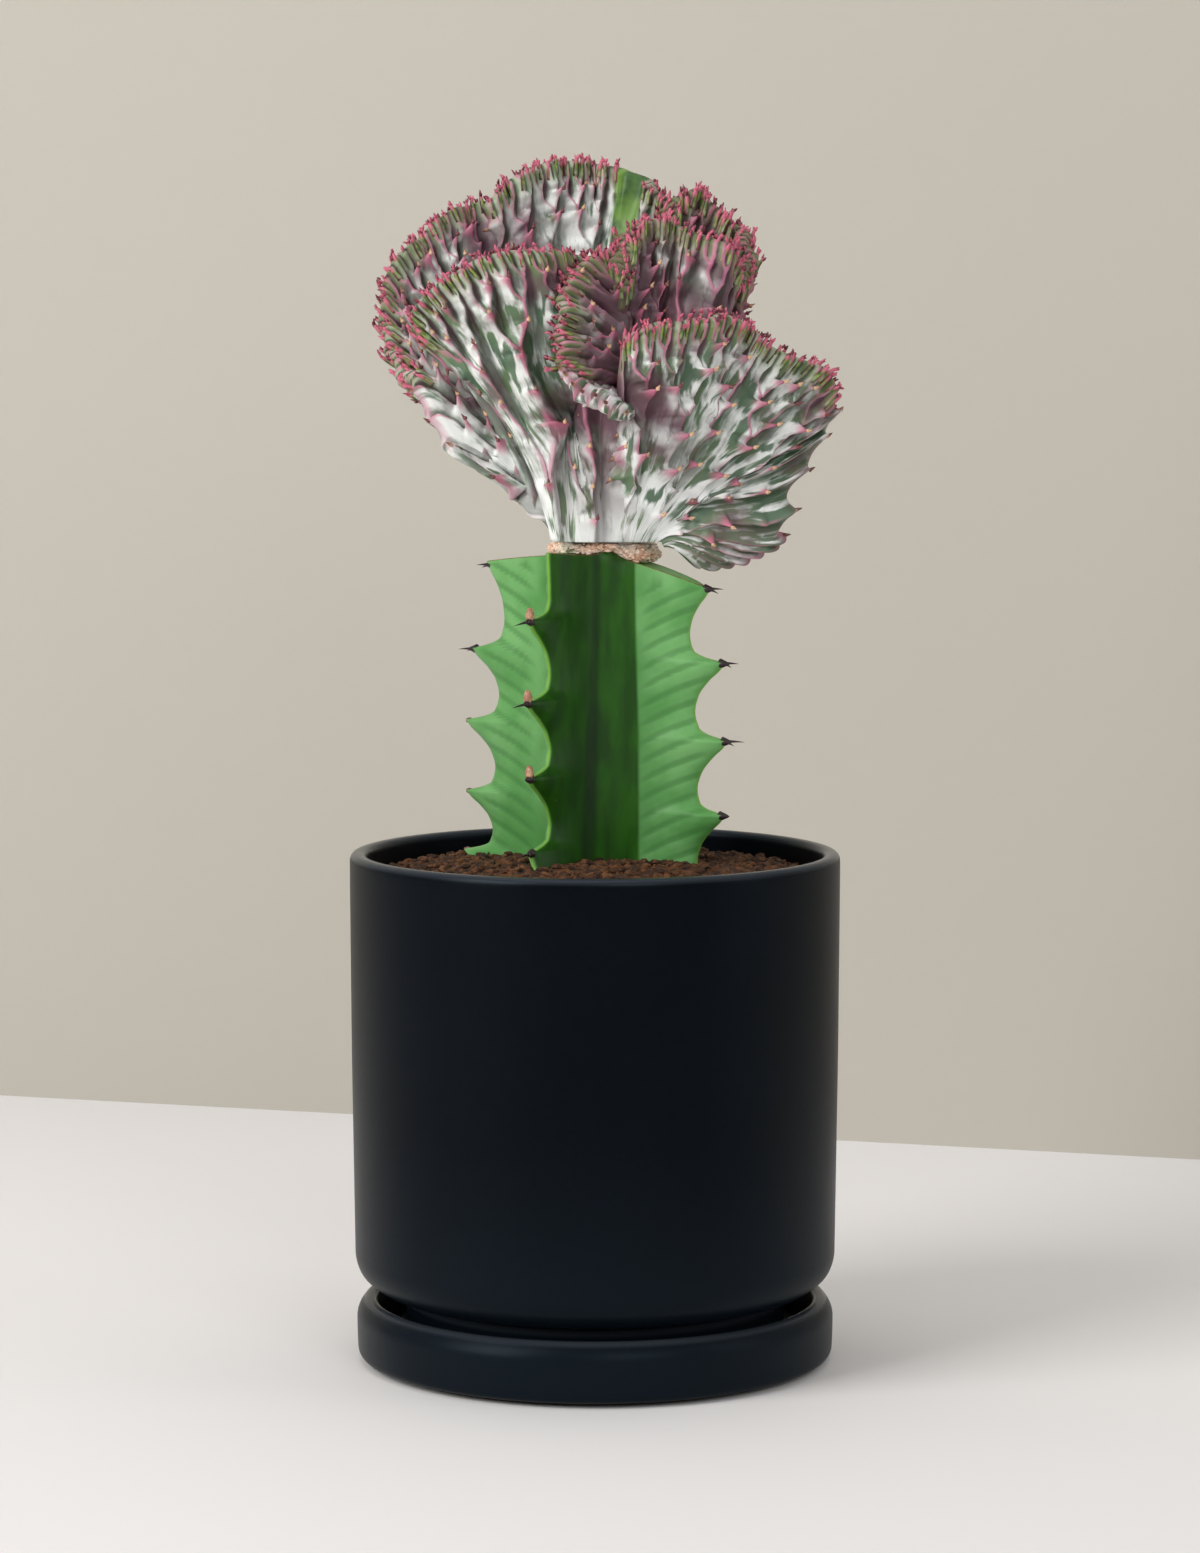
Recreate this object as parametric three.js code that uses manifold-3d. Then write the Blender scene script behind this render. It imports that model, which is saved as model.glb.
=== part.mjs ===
// Grafted crested succulent in a black cylinder pot with a saucer.
// Millimetres, +Z up. The origin is the middle of the saucer's flat underside,
// and the plant is seen from -Y, with +X to the right.
import * as THREE from "three";
import { mergeVertices } from "three/addons/utils/BufferGeometryUtils.js";
import Module from "manifold-3d";

const wasm = await Module();
wasm.setup();

// Driving dimensions
const potRadius = 65;
const potTop = 136;
const potWall = 4.6;
const potBottom = 19;
const potCorner = 7;
const potFootRadius = 50.5;
const drainRadius = 6;
const saucerRadius = 63.6;
const saucerTop = 17;
const saucerWall = 6.6;
const saucerFloor = 5;
const saucerFootRadius = 58.5;
const soilEdge = 130.4;
const soilRise = 6.9;
const soilGap = 0.35;
const stemX = 0.5;
const stemTop = 215;
const stemFoot = 112;
const ribTurn = 61;
const ribCount = 4;
const toothRadius = 37.5;
const buriedToothRadius = 32;
const sinusRadius = 29.8;
const spineLength = 5.5;
const spineRadius = 0.75;
const callusX = 3.1;
const callusY = -1;
const callusWidth = 14.4;
const callusDepth = 12.2;
const callusTop = 218.2;
const seatGap = 0.35;
const latheSides = 48;

const degrees = Math.PI / 180;

// Helpers for closed meshes

function closedGeometry(points, faces) {
  const geometry = new THREE.BufferGeometry();
  geometry.setAttribute("position", new THREE.Float32BufferAttribute(points.flat(), 3));
  geometry.setIndex(faces.flat());
  return geometry;
}

function solid(geometry) {
  const bare = geometry.clone();
  bare.deleteAttribute("normal");
  bare.deleteAttribute("uv");
  const merged = mergeVertices(bare, 1e-4);
  const vertProperties = new Float32Array(merged.attributes.position.array);
  const triVerts = new Uint32Array(merged.index.array);
  return new wasm.Manifold(new wasm.Mesh({ numProp: 3, vertProperties, triVerts }));
}

function geometryOf(body) {
  const mesh = body.getMesh();
  const geometry = new THREE.BufferGeometry();
  geometry.setAttribute("position", new THREE.BufferAttribute(mesh.vertProperties, 3));
  geometry.setIndex(new THREE.BufferAttribute(mesh.triVerts, 1));
  return geometry;
}

// The shell with the most faces, without the small hollows that fans enclose where they meet
function outerShell(geometry) {
  const index = geometry.index.array;
  const owner = Array.from({ length: geometry.attributes.position.count }, (_, vertex) => vertex);
  const find = (vertex) => {
    let root = vertex;
    while (owner[root] !== root) root = owner[root];
    owner[vertex] = root;
    return root;
  };
  for (let i = 0; i < index.length; i += 3) {
    owner[find(index[i + 1])] = find(index[i]);
    owner[find(index[i + 2])] = find(index[i]);
  }
  const counts = new Map();
  for (let i = 0; i < index.length; i += 3) counts.set(find(index[i]), (counts.get(find(index[i])) ?? 0) + 1);
  const largest = [...counts].sort((a, b) => b[1] - a[1])[0][0];
  const kept = [];
  for (let i = 0; i < index.length; i += 3) {
    if (find(index[i]) === largest) kept.push(index[i], index[i + 1], index[i + 2]);
  }
  geometry.setIndex(kept);
  return mergeVertices(geometry.toNonIndexed(), 1e-5);
}

function material(color, roughness) {
  return new THREE.MeshStandardMaterial({ color, roughness, metalness: 0 });
}

function named(name, geometry, look) {
  const mesh = new THREE.Mesh(geometry, look);
  mesh.name = name;
  return mesh;
}

// A lathe body about the Z axis, from a closed profile of [radius, height] points
function turned(profile, sides = latheSides) {
  const points = profile.map(([r, z]) => new THREE.Vector2(r, z));
  points.push(points[0].clone());
  const geometry = new THREE.LatheGeometry(points, sides);
  geometry.rotateX(Math.PI / 2);
  return geometry;
}

// Rings of points stacked from bottom to top, closed by a middle point at each end
function stackedRings(rings, bottomMiddle, topMiddle) {
  const sides = rings[0].length;
  const points = [...rings.flat(), bottomMiddle, topMiddle];
  const bottom = rings.length * sides;
  const top = bottom + 1;
  const faces = [];
  for (let column = 0; column < sides; column += 1) {
    const next = (column + 1) % sides;
    faces.push([bottom, next, column]);
    for (let row = 0; row + 1 < rings.length; row += 1) {
      const a = row * sides + column;
      const b = row * sides + next;
      const c = b + sides;
      const d = a + sides;
      faces.push([a, b, c], [a, c, d]);
    }
    const last = (rings.length - 1) * sides;
    faces.push([last + column, last + next, top]);
  }
  return closedGeometry(points, faces);
}

// Pot: straight cylinder cup with a rounded lip, standing on a narrower foot

function potGeometry() {
  const inner = potRadius - potWall;
  const foot = potFootRadius;
  const floor = saucerFloor + 4.5;
  const profile = [
    [foot - 1, saucerFloor], [foot, saucerFloor + 1], [foot, potBottom - 1], [foot + 1.5, potBottom],
    [potRadius - 8, potBottom], [potRadius - 4.6, potBottom + 1], [potRadius - 2, potBottom + 3.6],
    [potRadius - 1, potBottom + potCorner + 1], [potRadius - 0.3, 80], [potRadius, potTop - 2.4],
    [potRadius - 0.7, potTop - 0.7], [potRadius - 2.3, potTop], [potRadius - 3.9, potTop - 0.7],
    [inner, potTop - 2.4], [inner - 1, 34], [inner - 3.4, potBottom + 6.5], [inner - 9, potBottom + 4.6],
    [foot - 5, potBottom + 4], [foot - 5.4, floor], [drainRadius, floor], [drainRadius, saucerFloor + 2],
    [foot - 9, saucerFloor + 2], [foot - 9, saucerFloor],
  ];
  return turned(profile);
}

// Saucer: thick rounded wall around a flat well, on a slightly set-back foot

function saucerGeometry() {
  const outer = saucerRadius;
  const inner = outer - saucerWall;
  const profile = [
    [0, 0], [saucerFootRadius, 0], [saucerFootRadius, 2.4], [outer - 3.6, 2.9], [outer - 1.2, 5],
    [outer, 8.4], [outer, 12.4], [outer - 0.8, 15.2], [outer - 2.7, saucerTop], [outer - 4.8, saucerTop - 0.3],
    [inner + 0.4, saucerTop - 2.6], [inner - 0.6, 7.4], [inner - 3, saucerFloor], [0, saucerFloor],
  ];
  const points = profile.map(([r, z]) => new THREE.Vector2(r, z));
  const geometry = new THREE.LatheGeometry(points, latheSides);
  geometry.rotateX(Math.PI / 2);
  return geometry;
}

// Ribbed stem: four toothed wings around a core, cut off in a low dome at the top

// Heights of the tooth tips on each wing, from the cut end down: back, left, front, right
const toothHeights = [
  [207.2, 194, 174, 154, 139.6],
  [211.4, 188.7, 171.4, 151.2, 139],
  [209.6, 199, 177.9, 158.3, 138.9],
  [206, 187.3, 166.9, 147.6, 138.6],
];
// Tip radius of each of those teeth, as a share of the full tooth radius
const toothShares = [
  [0.88, 0.97, 1, 0.98, 0.84],
  [0.9, 1, 1, 0.98, 0.82],
  [0.88, 0.97, 1, 0.98, 0.96],
  [0.86, 0.97, 1, 0.97, 0.82],
];
// Angle from a wing's middle, the wall's radius there as a share of the wing's radius, and
// how much of the teeth's reach is left there
const wingShape = [
  [-45, 0.46, 0], [-29, 0.5, 0], [-17, 0.61, 0.03], [-9, 0.79, 0.3], [-3.4, 0.97, 0.88],
  [0, 1, 1], [3.4, 0.97, 0.88], [9, 0.79, 0.3], [17, 0.61, 0.03], [29, 0.5, 0],
];
// One tooth from its tip down: share of the way to the next tip, and share of the tooth's depth
const toothShape = [[0, 1], [0.14, 0.9], [0.46, 0.5], [0.78, 0.03], [0.92, 0.26]];

function wingBlend(lists, angle, index) {
  const turn = (((angle / 90) % ribCount) + ribCount) % ribCount;
  const low = Math.floor(turn) % ribCount;
  const high = (low + 1) % ribCount;
  const share = turn - Math.floor(turn);
  const ease = share * share * (3 - 2 * share);
  return lists[low][index] * (1 - ease) + lists[high][index] * ease;
}

function stemPoint(angle, radius, z) {
  const turn = (angle + ribTurn) * degrees;
  return [stemX + radius * Math.cos(turn), radius * Math.sin(turn), z];
}

function domeHeight(angle, radius) {
  const fall = 4 + 2.2 * Math.cos((angle + ribTurn - 331) * degrees);
  return stemTop - fall * (radius / 30) ** 2;
}

// Outline of the stem in plan where wings reach out to one plain radius
function stemOutline(radius) {
  const outline = [];
  for (let wing = 0; wing < ribCount; wing += 1) {
    for (const [offset, share] of wingShape) {
      const turn = (wing * 90 + offset + ribTurn) * degrees;
      outline.push([stemX + radius * share * Math.cos(turn), radius * share * Math.sin(turn)]);
    }
  }
  return outline;
}

// The same outline moved outward by a distance, square to its edges
function widened(outline, distance) {
  return outline.map((point, index) => {
    const before = outline[(index + outline.length - 1) % outline.length];
    const after = outline[(index + 1) % outline.length];
    const first = new THREE.Vector2(point[1] - before[1], before[0] - point[0]).normalize();
    const second = new THREE.Vector2(after[1] - point[1], point[0] - after[0]).normalize();
    const middle = first.clone().add(second).normalize();
    const reach = distance / Math.max(0.5, middle.dot(first));
    return [point[0] + middle.x * reach, point[1] + middle.y * reach];
  });
}

function stemRing(height, radiusAt) {
  const ring = [];
  for (let wing = 0; wing < ribCount; wing += 1) {
    for (const [offset, share, toothed] of wingShape) {
      const angle = wing * 90 + offset;
      const radius = sinusRadius * share + (radiusAt(angle) - sinusRadius) * toothed;
      ring.push(stemPoint(angle, radius, height(angle, share)));
    }
  }
  return ring;
}

function stemSolid() {
  const rings = [];
  const teeth = toothHeights[0].length;
  const tip = (angle, tooth) => toothRadius * wingBlend(toothShares, angle, tooth);
  rings.push(stemRing((angle, share) => domeHeight(angle, 33 * share), () => 33));
  for (let tooth = 0; tooth + 1 < teeth; tooth += 1) {
    for (const [along, depth] of toothShape) {
      const height = (angle) => {
        const high = wingBlend(toothHeights, angle, tooth);
        const low = wingBlend(toothHeights, angle, tooth + 1);
        return high + (low - high) * along;
      };
      const radiusAt = (angle) => {
        const reach = along < 0.9 ? tip(angle, tooth) : tip(angle, tooth + 1);
        return sinusRadius + (reach - sinusRadius) * depth;
      };
      const lift = (angle, share) => height(angle) - 1.5 * (1 - share) * (along === 0 ? 1 : 0);
      rings.push(stemRing(lift, radiusAt));
    }
  }
  rings.push(stemRing((angle) => wingBlend(toothHeights, angle, teeth - 1), (angle) => tip(angle, teeth - 1)));
  rings.push(stemRing(() => soilEdge + soilRise + 0.5, () => sinusRadius));
  rings.push(stemRing(() => stemFoot, () => sinusRadius));
  const geometry = stackedRings(rings.reverse(), [stemX, 0, stemFoot], [stemX, 0, stemTop]);
  return solid(geometry);
}

// A pair of short spines at each tooth tip, spread sideways and a little down
function stemSpines() {
  const spines = [];
  for (let wing = 0; wing < ribCount; wing += 1) {
    for (let tooth = 0; tooth < toothHeights[wing].length; tooth += 1) {
      const radius = toothRadius * toothShares[wing][tooth];
      if (radius < buriedToothRadius && tooth > 0) continue;
      for (const side of [-1, 1]) {
        const spine = new THREE.ConeGeometry(spineRadius, spineLength, 4);
        spine.translate(0, spineLength / 2 - 1.2, 0);
        spine.rotateZ(-Math.PI / 2);
        spine.rotateX(45 * degrees);
        spine.rotateY(12 * degrees);
        spine.rotateZ(side * 30 * degrees);
        spine.translate(radius - 0.3, side * 0.5, toothHeights[wing][tooth] - 0.3);
        spine.rotateZ((wing * 90 + ribTurn) * degrees);
        spine.translate(stemX, 0, 0);
        spines.push(solid(spine));
      }
    }
  }
  return spines;
}

function rootstockGeometry() {
  let body = stemSolid();
  for (const spine of stemSpines()) body = body.add(spine);
  return geometryOf(body);
}

// Soil: a round plug that fills the pot, mounded at the stem, with a hole for the stem

function soilGeometry() {
  const inner = potRadius - potWall - soilGap;
  const foot = potFootRadius - 5.4 - soilGap;
  const shelf = potBottom + 4 + 0.6;
  const mound = (r) => soilEdge + soilRise * (1 - (r / inner) ** 3);
  const profile = [[0, saucerFloor + 4.5], [foot, saucerFloor + 4.5], [foot, shelf]];
  profile.push([inner - 9.4, shelf + 1.2], [inner - 4.2, shelf + 3.4], [inner - 1.4, 34.5]);
  profile.push([inner - 0.1, soilEdge - 0.6]);
  for (const share of [0.96, 0.82, 0.66, 0.5, 0.34, 0.17]) profile.push([inner * share, mound(inner * share)]);
  profile.push([0, mound(0)]);
  const lathe = new THREE.LatheGeometry(profile.map(([r, z]) => new THREE.Vector2(r, z)), latheSides);
  lathe.rotateX(Math.PI / 2);
  const outline = widened(stemOutline(sinusRadius), soilGap);
  const low = outline.map(([x, y]) => [x, y, stemFoot]);
  const high = outline.map(([x, y]) => [x, y, soilEdge + 20]);
  const hole = stackedRings([low, high], [stemX, 0, stemFoot], [stemX, 0, soilEdge + 20]);
  return geometryOf(solid(lathe).subtract(solid(hole)));
}

// Graft callus: a lumpy corky collar between the cut stem and the crest

function callusGeometry() {
  const sides = 26;
  const layers = [[0.9, 0], [1, 0.35], [0.98, 0.75], [0.9, 1]];
  const rings = layers.map(([share, up]) => {
    const ring = [];
    for (let column = 0; column < sides; column += 1) {
      const turn = (column / sides) * 2 * Math.PI;
      const lump = 1 + 0.035 * Math.sin(5 * turn + 1) + 0.03 * Math.sin(9 * turn + 4 * up);
      const x = callusX + callusWidth * share * lump * Math.cos(turn);
      const y = callusY + callusDepth * share * lump * Math.sin(turn);
      const radius = Math.hypot(x - stemX, y);
      const angle = Math.atan2(y, x - stemX) / degrees - ribTurn;
      const bottom = domeHeight(angle, radius) + seatGap;
      ring.push([x, y, bottom + (callusTop - bottom) * up]);
    }
    return ring;
  });
  return stackedRings(rings, [stemX, 0, stemTop + seatGap], [callusX, callusY, callusTop]);
}

// Crest: thick wavy fans that share one trunk, each with ribs, teeth and a toothed margin

// Each fan runs from its root line to its margin, which is listed left to right as seen
// from the front; rise and flare push the ribs' lower and upper parts to bow the face, and
// each is given for the first and the last rib.
const fans = [
  {
    // outer left, turning forward at the bottom
    root: [[-4, -6, 214], [-3, 4, 220]], thick: [5.2, 2.4],
    rise: [[3, -1, 14], [-2, -3, 4]], flare: [[4, 0, 5], [-3, -2, 0]],
    margin: [[-43, -12, 253.5], [-47.5, -10, 259.5], [-54.5, -5, 268], [-57.5, 3, 281], [-54.5, 9, 292.5],
      [-48, 14, 298.8], [-41, 19, 305.5], [-33, 24, 308.6], [-23, 27, 308]],
  },
  {
    // tall back lobe
    root: [[-5, 4, 226], [8, 3, 226]], thick: [6, 2.8],
    rise: [[0, 4, 0], [0, 4, 0]], flare: [[0, 6, 0], [0, 6, 0]],
    margin: [[-30, 15, 307.5], [-21, 19, 315.5], [-11, 24, 319], [0, 25, 318], [9, 21, 317.5],
      [15, 15, 314], [19, 10, 308], [20, 8, 300]],
  },
  {
    // front left
    root: [[-8, -6, 213], [-1, -9, 213]], thick: [6, 2.8],
    rise: [[0, -4, 4], [0, -4, 4]], flare: [[2, -2, 0], [2, -2, 0]],
    margin: [[-44, -18, 268], [-48.5, -17, 277.5], [-43.5, -20, 284.5], [-36, -23, 289.8], [-28, -24.5, 293.8],
      [-19, -23, 295.3], [-10, -18, 295], [-3, -10, 293.5]],
  },
  {
    // curled edge that comes forward over a hollow
    root: [[9, -22, 256], [8, -8, 284]], thick: [3.4, 2.4],
    rise: [[-1, 0, 0], [-1, 0, 0]], flare: [[0, -2, 0], [0, -2, 0]],
    margin: [[-5, -33, 257.5], [-8.5, -34, 264], [-8.5, -31, 275], [-8.8, -27, 283], [-6, -22, 289],
      [0, -16, 293.5], [7, -10, 294]],
  },
  {
    // ribs in the middle of the front, under the hollow
    root: [[-5, -9, 213], [8, -9, 213]], thick: [5, 3.4],
    rise: [[0, -3, 0], [0, -3, 0]], flare: [[0, -2, 0], [0, -2, 0]],
    margin: [[-9, -14, 247], [-2, -17, 254], [6, -21, 259], [14, -23, 262]],
  },
  {
    // right of the middle, behind the front lobe
    root: [[2, -2, 226], [10, -4, 226]], thick: [6, 2.8],
    rise: [[1, -2, 0], [1, -2, 0]], flare: [[0, -3, 0], [0, -3, 0]],
    margin: [[8, -19, 285], [7, -16, 296], [11, -11, 302], [18, -8, 303.6], [25, -9, 300.5],
      [31, -12, 298.5], [37, -11, 295], [38, -9, 287]],
  },
  {
    // back right
    root: [[6, 3, 226], [12, -1, 226]], thick: [5.5, 2.6],
    rise: [[1, 2, 0], [1, 2, 0]], flare: [[1, 3, 0], [1, 3, 0]],
    margin: [[20, 5, 304], [23, 9, 310.5], [28, 12, 312.2], [32, 11, 308], [37, 7, 303.5],
      [40.4, 1, 299], [40.4, -4, 291], [36, -8, 284]],
  },
  {
    // front right, the widest, turning down to the graft
    root: [[4, -9, 214], [14, -5, 219]], thick: [6.3, 2.6],
    rise: [[2, -6, 6], [2, -6, 6]], flare: [[1, -3, -1], [1, -3, -1]],
    margin: [[6, -32, 268], [9, -33, 273.5], [17, -31, 276.5], [26, -29, 277.3], [34, -25, 278.5],
      [40, -20, 276], [46, -17, 270.5], [54, -14, 267], [62, -11, 263.5], [63.5, -9, 254],
      [59.5, -10, 246], [55, -12, 238], [50.5, -13, 231], [49, -13, 222.5], [41, -11, 217.5],
      [32, -8, 214.8], [24, -5, 214.5]],
  },
  {
    // low lobe at the back, hidden from the front
    root: [[11, 3, 224], [-6, 4, 224]], thick: [5.5, 2.8],
    rise: [[0, 5, 0], [0, 5, 0]], flare: [[0, 9, -3], [0, 9, -3]],
    margin: [[42, 12, 262], [38, 20, 276], [27, 28, 284], [13, 31, 281], [0, 34, 286],
      [-14, 32, 291], [-28, 28, 288], [-37, 22, 280], [-40, 15, 270]],
  },
];
const columnPitch = 3.3;
const ribRows = [0, 0.13, 0.27, 0.41, 0.55, 0.69, 0.82, 0.93, 1];
const ribLow = 0.5;
const ribHigh = 1.5;
const toothRise = 1.5;
const marginTooth = 1.7;

function fanPoint(fan, curve, u, v) {
  const start = new THREE.Vector3(...fan.root[0]).lerp(new THREE.Vector3(...fan.root[1]), u);
  const end = curve.getPoint(u);
  const across = end.clone().sub(start);
  const rise = new THREE.Vector3(...fan.rise[0]).lerp(new THREE.Vector3(...fan.rise[1]), u);
  const flare = new THREE.Vector3(...fan.flare[0]).lerp(new THREE.Vector3(...fan.flare[1]), u);
  const lower = start.clone().addScaledVector(across, 0.33).add(rise);
  const upper = start.clone().addScaledVector(across, 0.7).add(flare);
  const rest = 1 - v;
  return start.multiplyScalar(rest ** 3)
    .addScaledVector(lower, 3 * rest * rest * v)
    .addScaledVector(upper, 3 * rest * v * v)
    .addScaledVector(end, v ** 3);
}

function fanFrame(fan, curve, u, v) {
  const step = 0.01;
  const along = fanPoint(fan, curve, Math.min(1, u + step), v).sub(fanPoint(fan, curve, Math.max(0, u - step), v));
  const up = fanPoint(fan, curve, u, Math.min(1, v + step)).sub(fanPoint(fan, curve, u, Math.max(0, v - step)));
  return { up: up.clone().normalize(), face: along.cross(up).normalize() };
}

function roundedEnd(distance, width) {
  const share = Math.min(1, distance / width);
  return Math.sqrt(1 - (1 - share) ** 2);
}

function fanSolid(fan) {
  const marginPoints = fan.margin.map((point) => new THREE.Vector3(...point));
  const curve = new THREE.CatmullRomCurve3(marginPoints, false, "catmullrom", 0.5);
  const columns = 2 * Math.round(curve.getLength() / columnPitch / 2);
  const rows = ribRows.length - 1;
  const points = [];
  const index = [[], []];
  for (let column = 0; column <= columns; column += 1) {
    for (let row = 0; row <= rows; row += 1) {
      const u = column / columns;
      const v = ribRows[row];
      const { up, face } = fanFrame(fan, curve, u, v);
      const edge = column === 0 || column === columns || row === 0 || row === rows;
      const crest = column % 2 === 1;
      const place = fanPoint(fan, curve, u, v);
      if (row === rows) place.addScaledVector(up, crest ? marginTooth : -0.4);
      if ((column === 0 || column === columns) && row % 2 === 1) place.addScaledVector(up, 0.8);
      const thick = fan.thick[0] + (fan.thick[1] - fan.thick[0]) * v;
      const half = thick * roundedEnd(Math.min(u, 1 - u) * columns, 3.4) * roundedEnd(1 - v, 0.1);
      const ribs = (ribLow + (ribHigh - ribLow) * v) * (edge ? 0 : 1);
      for (const side of [0, 1]) {
        if (edge && side === 1) {
          index[1].push(index[0][index[0].length - 1]);
          continue;
        }
        const raised = side === 0 ? crest : !crest;
        const toothed = raised && !edge && (row + Math.floor(column / 2)) % 3 === 0;
        const height = edge ? 0 : half + (raised ? ribs : -0.4 * ribs) + (toothed ? toothRise : 0);
        const spot = place.clone().addScaledVector(face, side === 0 ? height : -height);
        if (toothed) spot.addScaledVector(up, 0.9);
        index[side].push(points.length);
        points.push(spot.toArray());
      }
    }
  }
  const faces = [];
  const stride = rows + 1;
  for (let column = 0; column < columns; column += 1) {
    for (let row = 0; row < rows; row += 1) {
      const a = column * stride + row;
      const b = a + stride;
      const front = index[0];
      const back = index[1];
      faces.push([front[a], front[b], front[b + 1]], [front[a], front[b + 1], front[a + 1]]);
      faces.push([back[a], back[b + 1], back[b]], [back[a], back[a + 1], back[b + 1]]);
    }
  }
  return solid(closedGeometry(points, faces));
}

// The trunk that all fans grow out of, flat where it sits on the callus
function trunkSolid() {
  const sides = 20;
  const floor = callusTop + seatGap;
  const layers = [
    [floor, 0.97, 0], [floor + 3, 1.03, 0], [floor + 14, 1.15, 1], [floor + 30, 1.25, 2], [floor + 42, 0.9, 3],
  ];
  const rings = layers.map(([z, share, shift]) => {
    const ring = [];
    for (let column = 0; column < sides; column += 1) {
      const turn = (column / sides) * 2 * Math.PI;
      const wave = 1 + 0.05 * Math.cos(sides * 0.5 * turn);
      const x = callusX + shift + callusWidth * share * wave * Math.cos(turn);
      ring.push([x, callusY - 1 + callusDepth * share * wave * Math.sin(turn), z]);
    }
    return ring;
  });
  return solid(stackedRings(rings, [callusX, callusY, floor], [callusX + 3, callusY, floor + 46]));
}

// Room for the callus and the stem's cut end, taken out of the fans that hang past them
function seatRoom() {
  const sides = 26;
  const margin = 3.2;
  const rings = [stemTop - 20, callusTop + seatGap].map((z) => {
    const ring = [];
    for (let column = 0; column < sides; column += 1) {
      const turn = (column / sides) * 2 * Math.PI;
      const x = callusX + (callusWidth + margin) * Math.cos(turn);
      ring.push([x, callusY + (callusDepth + margin) * Math.sin(turn), z]);
    }
    return ring;
  });
  return solid(stackedRings(rings, [callusX, callusY, stemTop - 20], [callusX, callusY, callusTop + seatGap]));
}

function crestGeometry() {
  let body = trunkSolid();
  for (const fan of fans) body = body.add(fanSolid(fan));
  return outerShell(geometryOf(body.subtract(seatRoom())));
}

const plant = new THREE.Group();
plant.add(named("saucer", saucerGeometry(), material(0x1b2026, 0.5)));
plant.add(named("pot", potGeometry(), material(0x1b2026, 0.5)));
plant.add(named("soil", soilGeometry(), material(0x33231c, 0.95)));
plant.add(named("rootstock", rootstockGeometry(), material(0x3f7a3c, 0.55)));
plant.add(named("graft_callus", callusGeometry(), material(0xc08a64, 0.85)));
plant.add(named("crest", crestGeometry(), material(0xb9c0b4, 0.6)));

export default plant;
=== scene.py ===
import itertools
import math
import bmesh
import bpy
import numpy as np
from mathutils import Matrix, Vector, kdtree


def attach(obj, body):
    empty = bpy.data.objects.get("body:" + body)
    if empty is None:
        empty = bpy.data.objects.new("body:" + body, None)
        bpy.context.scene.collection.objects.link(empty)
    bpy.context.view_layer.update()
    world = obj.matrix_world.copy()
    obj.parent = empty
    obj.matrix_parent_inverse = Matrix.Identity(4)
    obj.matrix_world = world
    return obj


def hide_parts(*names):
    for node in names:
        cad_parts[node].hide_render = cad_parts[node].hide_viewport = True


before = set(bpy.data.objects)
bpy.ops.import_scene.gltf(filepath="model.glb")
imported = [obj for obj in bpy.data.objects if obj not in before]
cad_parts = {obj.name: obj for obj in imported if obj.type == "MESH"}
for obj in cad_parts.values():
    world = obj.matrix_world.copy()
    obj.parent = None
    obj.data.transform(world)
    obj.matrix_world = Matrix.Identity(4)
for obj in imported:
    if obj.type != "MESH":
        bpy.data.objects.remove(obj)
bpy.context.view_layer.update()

mm = 0.001

# Camera
# The photograph's view: a long lens a little above the pot's rim, looking down 5.5 degrees.
# The lens, height and distance were fitted to the rim's and the saucer's ellipses.

camera_data = bpy.data.cameras.new("photo_camera")
camera_data.sensor_fit = "HORIZONTAL"
camera_data.sensor_width = 36.0
camera_data.lens = 135.0
camera_data.clip_start = 0.05
camera = bpy.data.objects.new("photo_camera", camera_data)
camera_place = Vector((1.33, -1186.7, 270.1))
looks_down = 5.5
camera.location = camera_place * mm
camera.rotation_euler = (math.radians(90 - looks_down), 0, 0)
bpy.context.scene.collection.objects.link(camera)
bpy.context.scene.camera = camera
bpy.context.scene.view_settings.view_transform = "Standard"

# Floor and wall
# A pale matt table top, and a warm beige wall a third of a metre behind the plant. The wall
# stands a little skewed to the view and shows only its front, so it hides nothing from behind.


def surface_object(name, points, faces, *materials):
    mesh = bpy.data.meshes.new(name)
    mesh.from_pydata(points, [], faces)
    mesh.update()
    piece = bpy.data.objects.new(name, mesh)
    for material in materials:
        mesh.materials.append(material)
    bpy.context.scene.collection.objects.link(piece)
    return piece


def new_material(name):
    material = bpy.data.materials.new(name)
    material.use_nodes = True
    return material, material.node_tree, material.node_tree.nodes["Principled BSDF"]


floor_material, tree, shader = new_material("pale_table_top")
shader.inputs["Base Color"].default_value = (0.845, 0.825, 0.82, 1)
shader.inputs["Roughness"].default_value = 0.75
half_floor = 6.0
floor = surface_object(
    "floor",
    [(-half_floor, -half_floor, 0), (half_floor, -half_floor, 0), (half_floor, half_floor, 0),
     (-half_floor, half_floor, 0)],
    [(0, 1, 2, 3)],
    floor_material,
)

wall_material, tree, shader = new_material("beige_wall")
shader.inputs["Base Color"].default_value = (0.492, 0.462, 0.405, 1)
shader.inputs["Roughness"].default_value = 0.9
see_through = tree.nodes.new("ShaderNodeBsdfTransparent")
front_or_back = tree.nodes.new("ShaderNodeMixShader")
geometry = tree.nodes.new("ShaderNodeNewGeometry")
tree.links.new(geometry.outputs["Backfacing"], front_or_back.inputs["Fac"])
tree.links.new(shader.outputs["BSDF"], front_or_back.inputs[1])
tree.links.new(see_through.outputs["BSDF"], front_or_back.inputs[2])
tree.links.new(front_or_back.outputs["Shader"], tree.nodes["Material Output"].inputs["Surface"])
wall_left = Vector((-217, 419, 0)) * mm
wall_right = Vector((200, 290, 0)) * mm
wall_run = (wall_right - wall_left).normalized()
far_left = wall_left - wall_run * 3.0
far_right = wall_right + wall_run * 3.0
wall_height = Vector((0, 0, 3.0))
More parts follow.
